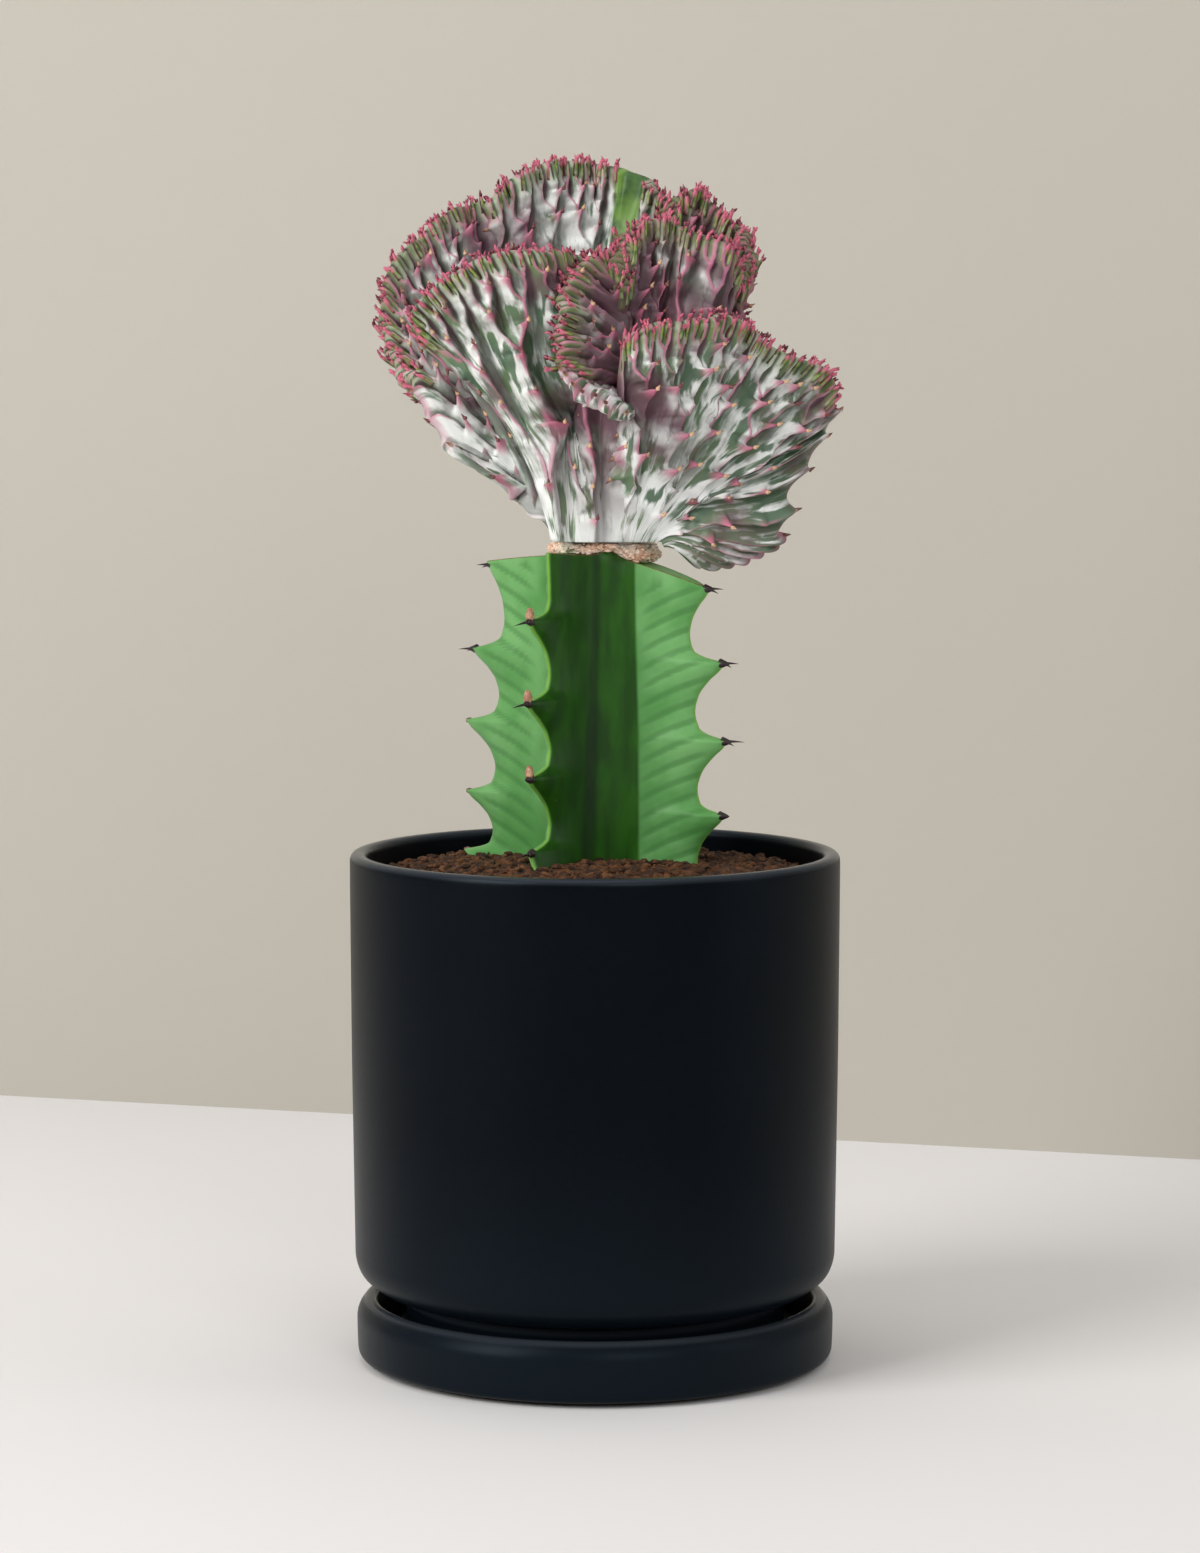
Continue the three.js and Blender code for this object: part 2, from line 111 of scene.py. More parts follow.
wall = surface_object(
    "wall",
    [far_left, far_right, far_right + wall_height, far_left + wall_height],
    [(0, 1, 2, 3)],
    wall_material,
)

# Lights
# A large soft window light from the left and a little in front, weaker fills from the right and
# the front, and an even grey surround, as in a plain daylight studio.

world = bpy.data.worlds.new("studio_surround")
bpy.context.scene.world = world
world.use_nodes = True
world.node_tree.nodes["Background"].inputs["Color"].default_value = (0.95, 0.97, 1.0, 1)
world.node_tree.nodes["Background"].inputs["Strength"].default_value = 0.29


def soft_light(name, place, target, size, power, colour):
    data = bpy.data.lights.new(name, "AREA")
    data.shape = "RECTANGLE"
    data.size, data.size_y = size
    data.energy = power
    data.color = colour
    light = bpy.data.objects.new(name, data)
    light.location = place
    light.rotation_euler = (Vector(target) - Vector(place)).to_track_quat("-Z", "Y").to_euler()
    bpy.context.scene.collection.objects.link(light)
    return light


plant_middle = (0, 0, 0.2)
soft_light("window_light", (-1.2, -0.85, 0.95), plant_middle, (0.9, 1.2), 22, (1.0, 0.985, 0.96))
soft_light("front_fill", (0.55, -1.7, 1.0), plant_middle, (0.9, 0.9), 8, (1.0, 1.0, 1.0))
soft_light("right_fill", (1.5, -0.35, 0.7), plant_middle, (0.8, 1.2), 4, (0.96, 0.98, 1.0))
soft_light("top_light", (-0.1, 0.15, 1.6), plant_middle, (1.0, 1.0), 5, (1.0, 1.0, 1.0))

# Pot and saucer
# Thrown and glazed stoneware: a straight cup with a rounded lip on a narrower foot, and a
# thick-walled saucer. Both wear the same near-black satin glaze, with a bare foot below.


def smooth_between(low, high, x):
    share = np.clip((x - low) / (high - low), 0, 1)
    return share * share * (3 - 2 * share)


def group_socket(group, name, direction, kind, value=None):
    socket = group.interface.new_socket(name=name, in_out=direction, socket_type=kind)
    if value is not None:
        socket.default_value = value
    return socket


def speckle_group():
    """Fine glaze mottling: a mask from 0 to 1, and a height for the bump."""
    group = bpy.data.node_groups.new("glaze_mottle", "ShaderNodeTree")
    group_socket(group, "Scale", "INPUT", "NodeSocketFloat", 400.0)
    group_socket(group, "Mask", "OUTPUT", "NodeSocketFloat")
    group_socket(group, "Height", "OUTPUT", "NodeSocketFloat")
    nodes, links = group.nodes, group.links
    given = nodes.new("NodeGroupInput")
    result = nodes.new("NodeGroupOutput")
    place = nodes.new("ShaderNodeTexCoord")
    fine = nodes.new("ShaderNodeTexNoise")
    fine.inputs["Detail"].default_value = 4
    fine.inputs["Roughness"].default_value = 0.65
    wide = nodes.new("ShaderNodeTexNoise")
    wide.inputs["Scale"].default_value = 28
    wide.inputs["Detail"].default_value = 3
    product = nodes.new("ShaderNodeMath")
    product.operation = "MULTIPLY"
    links.new(place.outputs["Object"], fine.inputs["Vector"])
    links.new(place.outputs["Object"], wide.inputs["Vector"])
    links.new(given.outputs["Scale"], fine.inputs["Scale"])
    links.new(fine.outputs["Fac"], product.inputs[0])
    links.new(wide.outputs["Fac"], product.inputs[1])
    links.new(product.outputs["Value"], result.inputs["Mask"])
    links.new(fine.outputs["Fac"], result.inputs["Height"])
    return group


glaze_mottle = speckle_group()


def place_group(tree, group, **values):
    node = tree.nodes.new("ShaderNodeGroup")
    node.node_tree = group
    for name, value in values.items():
        node.inputs[name].default_value = value
    return node


def colour_ramp(tree, *stops):
    """A ramp through (place, colour) stops, colours in linear red, green and blue."""
    ramp = tree.nodes.new("ShaderNodeValToRGB")
    elements = ramp.color_ramp.elements
    while len(elements) < len(stops):
        elements.new(0.5)
    for element, (place, colour) in zip(elements, stops):
        element.position = place
        element.color = (*colour, 1)
    return ramp


def object_place(tree):
    return tree.nodes.new("ShaderNodeTexCoord").outputs["Object"]


def bump(tree, height, shader, strength, distance):
    node = tree.nodes.new("ShaderNodeBump")
    node.inputs["Strength"].default_value = strength
    node.inputs["Distance"].default_value = distance
    tree.links.new(height, node.inputs["Height"])
    tree.links.new(node.outputs["Normal"], shader.inputs["Normal"])
    return node


def mixed(tree, factor, low, high, mode="MIX"):
    """Colour mix whose factor and colours may each be a socket or a fixed value."""
    node = tree.nodes.new("ShaderNodeMix")
    node.data_type = "RGBA"
    node.blend_type = mode
    for socket, value in ((node.inputs[0], factor), (node.inputs[6], low), (node.inputs[7], high)):
        if hasattr(value, "is_linked"):
            tree.links.new(value, socket)
        elif isinstance(value, tuple):
            socket.default_value = (*value, 1)
        else:
            socket.default_value = value
    return node.outputs[2]


def ranged(tree, value, low, high, to_low=0.0, to_high=1.0):
    node = tree.nodes.new("ShaderNodeMapRange")
    node.interpolation_type = "SMOOTHSTEP"
    node.inputs["From Min"].default_value = low
    node.inputs["From Max"].default_value = high
    node.inputs["To Min"].default_value = to_low
    node.inputs["To Max"].default_value = to_high
    tree.links.new(value, node.inputs["Value"])
    return node.outputs["Result"]


def added(tree, first, second, share=1.0):
    node = tree.nodes.new("ShaderNodeMath")
    node.operation = "MULTIPLY_ADD"
    tree.links.new(second, node.inputs[0])
    node.inputs[1].default_value = share
    tree.links.new(first, node.inputs[2])
    return node.outputs["Value"]


def product(tree, first, second):
    node = tree.nodes.new("ShaderNodeMath")
    node.operation = "MULTIPLY"
    for socket, value in zip(node.inputs, (first, second)):
        if isinstance(value, float):
            socket.default_value = value
        else:
            tree.links.new(value, socket)
    return node.outputs["Value"]


glaze, tree, shader = new_material("black_satin_glaze")
mottle = place_group(tree, glaze_mottle, Scale=900.0)
tint = colour_ramp(tree, (0.10, (0.0006, 0.0013, 0.0028)), (0.5, (0.0016, 0.0031, 0.0060)))
gloss = tree.nodes.new("ShaderNodeMapRange")
gloss.inputs["To Min"].default_value = 0.34
gloss.inputs["To Max"].default_value = 0.46
tree.links.new(mottle.outputs["Mask"], tint.inputs["Fac"])
tree.links.new(mottle.outputs["Mask"], gloss.inputs["Value"])
# the glaze breaks thinner and glossier over the pot's lip and the saucer's edge, where a paler line is
# painted, partly the glaze's own paler break and partly a painted highlight;
# towards the foot the body is painted a little bluer and greyer, a painted reflection of the pale table top
parts = tree.nodes.new("ShaderNodeSeparateXYZ")
tree.links.new(object_place(tree), parts.inputs["Vector"])
height = parts.outputs["Z"]
# painted highlight: the pot's lip and the saucer's edge are painted paler, partly the glaze's own paler break
lip_break_and_highlight = ranged(tree, height, 0.1341, 0.1356)
saucer_edge_highlight = ranged(tree, height, 0.0154, 0.0167)
saucer_edge_highlight = product(tree, saucer_edge_highlight, ranged(tree, height, 0.0180, 0.0174))
edge_break_and_highlight = added(tree, lip_break_and_highlight, saucer_edge_highlight)
# painted reflection: the body is lightened to a bluer grey towards the foot, as the pale table top would
# mirror in it
body = mixed(tree, ranged(tree, height, 0.075, 0.008, 0.0, 0.85), tint.outputs["Color"],
             (0.0042, 0.0075, 0.0115))
tree.links.new(mixed(tree, edge_break_and_highlight, body, (0.026, 0.032, 0.040)), shader.inputs["Base Color"])
tree.links.new(added(tree, gloss.outputs["Result"], edge_break_and_highlight, -0.20), shader.inputs["Roughness"])
shader.inputs["Specular IOR Level"].default_value = 0.085
shader.inputs["Specular Tint"].default_value = (0.70, 0.88, 1.0, 1)
bump(tree, mottle.outputs["Height"], shader, 0.25, 0.00012)

bare_clay, tree, shader = new_material("bare_foot_clay")
mottle = place_group(tree, glaze_mottle, Scale=1500.0)
tint = colour_ramp(tree, (0.1, (0.020, 0.012, 0.008)), (0.5, (0.065, 0.040, 0.026)))
tree.links.new(mottle.outputs["Mask"], tint.inputs["Fac"])
tree.links.new(tint.outputs["Color"], shader.inputs["Base Color"])
shader.inputs["Roughness"].default_value = 0.85
bump(tree, mottle.outputs["Height"], shader, 0.5, 0.0003)


def rounded_profile(corners):
    """Corner points [radius, height, rounding] in millimetres, each corner turned on an arc."""
    points = []
    count = len(corners)
    for index, (r, z, rounding) in enumerate(corners):
        here = Vector((r, z))
        if rounding <= 0:
            points.append(here)
            continue
        before = Vector(corners[(index - 1) % count][:2])
        after = Vector(corners[(index + 1) % count][:2])
        reach = min(rounding, 0.49 * (before - here).length, 0.49 * (after - here).length)
        start = here + (before - here).normalized() * reach
        end = here + (after - here).normalized() * reach
        steps = 7
        for step in range(steps + 1):
            t = step / steps
            points.append(start * (1 - t) ** 2 + here * 2 * t * (1 - t) + end * t * t)
    return points


def turned_piece(name, corners, sides, material, closed=True):
    profile = rounded_profile(corners)
    points = []
    faces = []
    for p in profile:
        for side in range(sides):
            turn = 2 * math.pi * side / sides
            points.append((p.x * mm * math.cos(turn), p.x * mm * math.sin(turn), p.y * mm))
    rings = len(profile)
    for ring in range(rings if closed else rings - 1):
        following = (ring + 1) % rings
        for side in range(sides):
            beside = (side + 1) % sides
            faces.append((ring * sides + side, ring * sides + beside, following * sides + beside,
                          following * sides + side))
    if not closed:
        points.append((0, 0, profile[0].y * mm))
        points.append((0, 0, profile[-1].y * mm))
        last = (rings - 1) * sides
        for side in range(sides):
            beside = (side + 1) % sides
            faces.append((len(points) - 2, beside, side))
            faces.append((len(points) - 1, last + side, last + beside))
    piece = surface_object(name, points, faces, material)
    piece.data.shade_smooth()
    piece.data.set_sharp_from_angle(angle=math.radians(40))
    return piece


pot_radius = 65.0
pot_top = 136.0
pot_wall = 4.6
pot_bottom = 19.0
pot_foot_radius = 50.5
saucer_floor = 5.0
round_sides = 160

inner = pot_radius - pot_wall
pot_corners = [
    (pot_foot_radius, saucer_floor + 0.05, 1.2), (pot_foot_radius, pot_bottom, 1.5),
    (pot_radius - 8.0, pot_bottom + 0.3, 2.5), (pot_radius - 2.6, pot_bottom + 4.2, 2.8),
    (pot_radius - 1.0, pot_bottom + 8.4, 2.0), (pot_radius - 0.3, 80, 8),
    (pot_radius, pot_top - 8, 4), (pot_radius, pot_top - 0.02, 2.9),
    (inner, pot_top - 0.02, 2.9), (inner - 0.9, 34, 8), (inner - 3, 24, 8),
    (pot_foot_radius - 5.2, pot_bottom + 4, 1), (pot_foot_radius - 5.4, saucer_floor + 4.5, 1),
    (6, saucer_floor + 4.5, 0.8), (6, saucer_floor + 2.05, 0.8),
    (pot_foot_radius - 9, saucer_floor + 2.05, 0.8), (pot_foot_radius - 9, saucer_floor + 0.05, 0.8),
]
pot = turned_piece("glazed_pot", pot_corners, round_sides, glaze)
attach(pot, "root")
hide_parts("pot")

saucer_radius = 63.6
saucer_top = 17.0
saucer_foot_radius = 58.5
saucer_corners = [
    (saucer_foot_radius, 0.02, 0.3), (saucer_foot_radius, 1.0, 0.3), (saucer_radius - 0.3, 1.3, 4.0),
    (saucer_radius, 8.5, 3), (saucer_radius, 13.6, 3.0), (saucer_radius - 2.6, saucer_top + 0.1, 1.7),
    (saucer_radius - 5.2, saucer_top - 0.1, 1.7), (saucer_radius - 6.9, 11.0, 3.0),
    (saucer_radius - 7.6, saucer_floor, 3.0), (4.0, saucer_floor, 0),
]
saucer = turned_piece("glazed_saucer", saucer_corners, round_sides, glaze, closed=False)
saucer.data.materials.append(bare_clay)
for polygon in saucer.data.polygons:
    if polygon.center.z < 0.95 * mm:
        polygon.material_index = 1
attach(saucer, "root")
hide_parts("saucer")

# Soil
# Moist reddish-brown potting mix that fills the pot to just under the lip and is mounded at
# the stem. It is a bumpy bed with loose crumbs and bits of bark pressed into its surface.

soil_edge = 130.2
soil_rise = 4.9
soil_tilt = 0.055
fit_gap = 0.35
soil_radius = inner - fit_gap
stem_x = 0.5


def soil_height(x, y):
    r = np.hypot(x, y)
    share = np.clip(r / soil_radius, 0, 1)
    mound = soil_edge + soil_rise * (1 - share ** 3) - soil_tilt * y * (1 - share ** 2)
    lumps = 0.55 * np.sin(0.43 * x + 1.3) * np.sin(0.51 * y + 0.4)
    lumps = lumps + 0.35 * np.sin(1.1 * x - 0.7 * y) * np.sin(0.9 * y + 0.5 * x)
    fine = 0.22 * np.sin(2.3 * x + 0.8 * y) * np.sin(2.1 * y - 1.2 * x + 1)
    return mound - 0.9 + lumps + fine


random = np.random.default_rng(7)
rings, sides = 70, 200
radii = soil_radius * (np.arange(1, rings + 1) / rings)
turns = 2 * np.pi * np.arange(sides) / sides
grid_r, grid_t = np.meshgrid(radii, turns, indexing="ij")
x = grid_r * np.cos(grid_t)
y = grid_r * np.sin(grid_t)
z = soil_height(x, y) + random.normal(0, 0.16, x.shape)
soil_points = [tuple(p) for p in np.stack([x, y, z], -1).reshape(-1, 3) * mm]
soil_faces = []
for ring in range(rings - 1):
    for side in range(sides):
        beside = (side + 1) % sides
        here, outer = ring * sides, (ring + 1) * sides
        soil_faces.append((here + side, outer + side, outer + beside, here + beside))
middle = len(soil_points)
soil_points.append((0, 0, float(soil_height(np.array(0.0), np.array(0.0))) * mm))
soil_faces += [(middle, side, (side + 1) % sides) for side in range(sides)]
# the plug's wall and underside follow the pot's inside
foot = pot_foot_radius - 5.4 - fit_gap
for r, level in [(inner - 1.4, 34.5), (inner - 4.2, 26.4), (foot, 23.6), (foot, saucer_floor + 4.55)]:
    start = len(soil_points)
    above = (rings - 1) * sides if start == middle + 1 else start - sides
    soil_points += [(r * mm * math.cos(t), r * mm * math.sin(t), level * mm) for t in turns]
    for side in range(sides):
        beside = (side + 1) % sides
        soil_faces.append((above + side, start + side, start + beside, above + beside))
lowest = len(soil_points) - sides
soil_points.append((0, 0, (saucer_floor + 4.55) * mm))
soil_faces += [(len(soil_points) - 1, lowest + (side + 1) % sides, lowest + side) for side in range(sides)]


def crumb_shape():
    """A small ball of 20 faces, to be squashed and knocked into a crumb."""
    golden = (1 + 5 ** 0.5) / 2
    corners = []
    for a in (-1, 1):
        for b in (-golden, golden):
            corners += [(0, a, b), (a, b, 0), (b, 0, a)]
    corners = np.array(corners) / math.hypot(1, golden)
    faces = []
    for i in range(12):
        for j in range(i + 1, 12):
            for k in range(j + 1, 12):
                near = max(np.linalg.norm(corners[i] - corners[j]), np.linalg.norm(corners[j] - corners[k]),
                           np.linalg.norm(corners[i] - corners[k]))
                if near < 1.2:
                    normal = np.cross(corners[j] - corners[i], corners[k] - corners[i])
                    outward = np.dot(normal, corners[i]) > 0
                    faces.append((i, j, k) if outward else (i, k, j))
    return corners, faces


crumb_corners, crumb_faces = crumb_shape()
crumb_count = 2600
for number in range(crumb_count):
    radius = (soil_radius - 1.6) * math.sqrt(random.random())
    turn = 2 * math.pi * random.random()
    size = 0.45 + 1.5 * random.random() ** 3
    stretch = np.array([1, 0.6 + 0.5 * random.random(), 0.4 + 0.35 * random.random()]) * size
    spin = 2 * math.pi * random.random()
    cx, cy = radius * math.cos(turn), radius * math.sin(turn)
    lift = float(soil_height(np.array(cx), np.array(cy))) + 0.25 * stretch[2]
    knocked = crumb_corners * stretch * (1 + random.normal(0, 0.13, (12, 1)))
    turned_x = knocked[:, 0] * math.cos(spin) - knocked[:, 1] * math.sin(spin)
    turned_y = knocked[:, 0] * math.sin(spin) + knocked[:, 1] * math.cos(spin)
    start = len(soil_points)
    soil_points += [((cx + a) * mm, (cy + b) * mm, (lift + c) * mm) for a, b,
                    c in zip(turned_x, turned_y, knocked[:, 2])]
    soil_faces += [(start + i, start + j, start + k) for i, j, k in crumb_faces]

soil_mix, tree, shader = new_material("potting_mix")
place = object_place(tree)
grain = tree.nodes.new("ShaderNodeTexNoise")
grain.inputs["Scale"].default_value = 420
grain.inputs["Detail"].default_value = 6
grain.inputs["Roughness"].default_value = 0.7
patches = tree.nodes.new("ShaderNodeTexVoronoi")
patches.inputs["Scale"].default_value = 520
earth = colour_ramp(
    tree, (0.25, (0.011, 0.005, 0.002)), (0.46, (0.045, 0.015, 0.004)), (0.60, (0.105, 0.037, 0.009)),
    (0.8, (0.20, 0.083, 0.026)),
)
blend = tree.nodes.new("ShaderNodeMix")
blend.data_type = "FLOAT"
blend.inputs["Factor"].default_value = 0.45
tree.links.new(place, grain.inputs["Vector"])
tree.links.new(place, patches.inputs["Vector"])
tree.links.new(grain.outputs["Fac"], blend.inputs[2])
tree.links.new(patches.outputs["Color"], blend.inputs[3])
tree.links.new(blend.outputs[0], earth.inputs["Fac"])
tree.links.new(earth.outputs["Color"], shader.inputs["Base Color"])
shader.inputs["Roughness"].default_value = 0.92
bump(tree, grain.outputs["Fac"], shader, 0.9, 0.0009)
soil = surface_object("potting_soil", soil_points, soil_faces, soil_mix)
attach(soil, "root")
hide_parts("soil")

# Stem
# The rootstock: a living green stem with four thin toothed wings round a core, waxy and
# smooth, with side veins in the wings. It was cut straight off at the top for the graft.

stem_top = 215.0
stem_foot = 112.0
wing_turn = 61.0
tooth_radius = 37.5
sinus_radii = np.array([
    [29.8, 29.8, 29.8, 29.8, 29.8],
    [27.5, 28.6, 30.6, 31.4, 32.2],
    [25.6, 25.6, 25.6, 25.6, 25.6],
    [27.0, 28.2, 30.0, 30.2, 30.2],
])
rim_radii = np.array([33.0, 33.75, 26.2, 32.2])
top_drops = np.array([7.5, 2.6, -2.0, 8.0])
tooth_heights = np.array([
    [207.2, 194, 174, 154, 139.6],
    [211.4, 188.7, 169.4, 150.4, 134.4],
    [215.6, 199, 177.9, 158.3, 138.9],
    [206.6, 187.3, 166.9, 147.4, 129],
])
tooth_shares = np.array([
    [0.88, 0.97, 1, 0.98, 0.84],
    [0.88, 1.02, 1.07, 1.07, 1.09],
    [0.70, 0.97, 1, 0.98, 0.96],
    [0.90, 1.02, 1.04, 1.02, 0.84],
])
tooth_along = [0, 0.10, 0.24, 0.44, 0.66, 0.86, 0.93, 1.0]
tooth_depth = [1, 0.84, 0.50, 0.15, 0.0, 0.10, 0.38, 1.0]


def eased(x, places, values):
    """Smooth curve through the listed values, level at each low and high point."""
    places, values = np.asarray(places, float), np.asarray(values, float)
    steps = np.diff(values) / np.diff(places)
    slopes = np.zeros(len(values))
    same_way = steps[:-1] * steps[1:] > 0
    slopes[1:-1] = np.where(same_way, 2 * steps[:-1] * steps[1:] / (steps[:-1] + steps[1:] + 1e-9), 0)
    slopes[0], slopes[-1] = steps[0], steps[-1]
    k = np.clip(np.searchsorted(places, x, side="right") - 1, 0, len(places) - 2)
    h = places[k + 1] - places[k]
    t = np.clip((x - places[k]) / h, 0, 1)
    a = (1 + 2 * t) * (1 - t) ** 2
    b = t * (1 - t) ** 2 * h
    c = t * t * (3 - 2 * t)
    d = t * t * (t - 1) * h
    return a * values[k] + b * slopes[k] + c * values[k + 1] + d * slopes[k + 1]


def wing_blend(table, angle):
    turn = np.mod(angle / 90, 4)
    low = np.floor(turn).astype(int) % 4
    share = turn - np.floor(turn)
    ease = share * share * (3 - 2 * share)
    return table[low] * (1 - ease) + table[(low + 1) % 4] * ease


def dome_height(angle, radius):
    """The cut top: it droops along each wing by its own amount and humps up in the front valley."""
    hump = np.exp(-((np.mod(angle + wing_turn, 360) - 286) / 16) ** 2) * np.minimum(1, radius / 14)
    return stem_top - 0.4 - wing_blend(top_drops, angle) * (radius / 33) ** 1.6 + 2.2 * hump


def wing_share(offset):
    return 0.46 + 0.54 * np.exp(-(np.abs(offset) / 14.4) ** 1.55)


def tooth_reach(offset):
    return np.exp(-(np.abs(offset) / 8.3) ** 2.3)


half_wing = 45 * np.linspace(0, 1, 31)[:-1] ** 1.7
offsets = np.concatenate([-half_wing[:0:-1], half_wing, [45.0]])
angles = np.concatenate([wing * 90 + offsets for wing in range(4)])
wing_offsets = np.tile(offsets, 4)
share = wing_share(wing_offsets)
reach = tooth_reach(wing_offsets)
foot_sinus = wing_blend(sinus_radii[:, 4], angles)
stem_rows = []


def stem_row(radius, height, cut=0.0):
    turn = np.radians(angles + wing_turn)
    level = height * np.ones_like(turn)
    spot = np.stack([stem_x + radius * np.cos(turn), radius * np.sin(turn), level], -1)
    stem_rows.append((spot, radius, cut * np.ones_like(turn)))


stem_row(foot_sinus * share, np.full(angles.shape, stem_foot))
stem_row(foot_sinus * share, np.full(angles.shape, 122.0))
rows_per_tooth = 30
for tooth in range(3, -1, -1):
    for step in range(rows_per_tooth, 0 if tooth else -1, -1):
        along = step / rows_per_tooth
        high = wing_blend(tooth_heights[:, tooth], angles)
        low = wing_blend(tooth_heights[:, tooth + 1], angles)
        tip_here = tooth_radius * wing_blend(tooth_shares[:, tooth], angles)
        tip_below = tooth_radius * wing_blend(tooth_shares[:, tooth + 1], angles)
        tip = np.where(along < 0.66, tip_here, tip_below)
        depth = float(eased(np.array(along), tooth_along, tooth_depth))
        sinus = wing_blend(sinus_radii[:, tooth] * (1 - along) + sinus_radii[:, tooth + 1] * along, angles)
        radius = sinus * share + (tip - sinus) * depth * reach
        stem_row(radius, high + (low - high) * along)
for rim_share in (1.0, 0.985, 0.95, 0.86, 0.7, 0.5, 0.25):
    top_sinus = wing_blend(sinus_radii[:, 0], angles)
    reach_in = (top_sinus * share + (wing_blend(rim_radii, angles) - top_sinus) * reach) * rim_share
    lift = 0.25 * smooth_between(0.9, 1.0, rim_share) * (1 - smooth_between(0.99, 1.0, rim_share))
    stem_row(reach_in, dome_height(angles, reach_in) + lift, {1.0: 0.6, 0.985: 1.0}.get(rim_share, 0.45))


def ringed_solid(rings, low_middle, high_middle):
    """Points and faces of a stack of rings, closed by a middle point at each end."""
    rings = np.array(rings)
    count, sides = rings.shape[:2]
    points = np.concatenate([rings.reshape(-1, 3), [low_middle, high_middle]])
    faces = []
    for row in range(count - 1):
        for side in range(sides):
            beside = (side + 1) % sides
            a, b = row * sides, (row + 1) * sides
            faces.append((a + side, a + beside, b + beside, b + side))
    low, high = count * sides, count * sides + 1
    last = (count - 1) * sides
    faces += [(low, (side + 1) % sides, side) for side in range(sides)]
    faces += [(high, last + side, last + (side + 1) % sides) for side in range(sides)]
    return points, faces


stem_points, stem_faces = ringed_solid(
    [row[0] for row in stem_rows], (stem_x, 0, stem_foot), (stem_x, 0, stem_top))
stem_radius = np.concatenate([row[1] for row in stem_rows])
stem_cut = np.concatenate([row[2] for row in stem_rows] + [np.array([0.0, 1.0])])
stem_edge = np.concatenate([np.tile(np.exp(-(np.abs(wing_offsets) / 0.8) ** 2), len(stem_rows)), [0, 0]])
full_radius = np.concatenate([stem_radius, [0, 0]])
# the side veins are shallow pleats that rise outwards across each wing's two faces
pleat_pitch = 4.9
pleat_rise = 0.50
pleat_depth = 0.20
side_of_wing = np.concatenate([np.tile(np.sign(wing_offsets), len(stem_rows)), [0, 0]])
point_turn = np.concatenate([np.tile(np.radians(angles + wing_turn), len(stem_rows)), [0, 0]])
pleat = stem_points[:, 2] - pleat_rise * full_radius + 0.7 * np.sin(full_radius / 5)
pleat = np.mod(pleat / pleat_pitch, 1)
pleat_wave = np.where(pleat < 0.62, pleat / 0.62, (1 - pleat) / 0.38)
pleat_wave = pleat_wave * pleat_wave * (3 - 2 * pleat_wave)
on_face = smooth_between(14.5, 20, full_radius) * smooth_between(37.5, 29, full_radius) * (1 - stem_edge)
on_face = on_face * (np.concatenate([stem_cut[:-2], [1, 1]]) < 0.3)
# the front valley is coloured deep green as far as a sharp line on the right wing, partly the stem's own
# darker green and partly painted shade on the flank turned from the light, and a painted shade line darkens
# its bottom
past_front_wing = np.concatenate([np.tile(angles - 180, len(stem_rows)), [0, 0]])
deep_green_and_painted_shade = smooth_between(0.4, 1.3, past_front_wing) * smooth_between(71.0, 69.3, past_front_wing)
on_face = on_face * (1 - deep_green_and_painted_shade)
pushed = side_of_wing * on_face * pleat_depth * (pleat_wave - 0.5)
stem_points[:, 0] -= pushed * np.sin(point_turn)
stem_points[:, 1] += pushed * np.cos(point_turn)
stem_vein = on_face * smooth_between(0.55, 0.0, pleat_wave)
# painted shade: the light face colour is withheld from the front valley
light_face = (0.75 + 0.25 * smooth_between(12, 17, full_radius)) * (1 - deep_green_and_painted_shade)
valley_bottom = 21 + 8 * (stem_points[:, 2] - 140) / 75
painted_valley_shade = np.exp(-((past_front_wing - valley_bottom) / 7) ** 2)
painted_valley_shade = np.maximum(painted_valley_shade, 0.45 * (past_front_wing < valley_bottom))


def stored(piece, name, values, kind="FLOAT"):
    """Keeps one value, or one vector, per point of a piece for its material to read."""
    attribute = piece.data.attributes.new(name, kind, "POINT")
    flat = np.asarray(values, dtype=np.float32).ravel()
    attribute.data.foreach_set("vector" if kind == "FLOAT_VECTOR" else "value", flat)


def attribute_node(tree, name):
    node = tree.nodes.new("ShaderNodeAttribute")
    node.attribute_name = name
    return node


def noise(tree, vector, scale, detail=3.0, roughness=0.5):
    node = tree.nodes.new("ShaderNodeTexNoise")
    node.inputs["Scale"].default_value = scale
    node.inputs["Detail"].default_value = detail
    node.inputs["Roughness"].default_value = roughness
    tree.links.new(vector, node.inputs["Vector"])
    return node.outputs["Fac"]


stem_skin, tree, shader = new_material("waxy_stem_skin")
place = object_place(tree)
edge_mask = attribute_node(tree, "wing_edge").outputs["Fac"]
cut_mask = attribute_node(tree, "cut_end").outputs["Fac"]
cloud = noise(tree, place, 60, 4)
streaked = tree.nodes.new("ShaderNodeMapping")
streaked.inputs["Scale"].default_value = (1.0, 1.0, 0.25)
tree.links.new(place, streaked.inputs["Vector"])
grainy = noise(tree, streaked.outputs["Vector"], 260, 3)
# the dark green of the core, also used for the front valley, which is partly painted shade
dark_flesh_and_shade = mixed(tree, ranged(tree, grainy, 0.35, 0.68), (0.010, 0.060, 0.002), (0.018, 0.105, 0.002))
light_flesh = mixed(tree, ranged(tree, cloud, 0.32, 0.7), (0.085, 0.280, 0.068), (0.165, 0.400, 0.135))
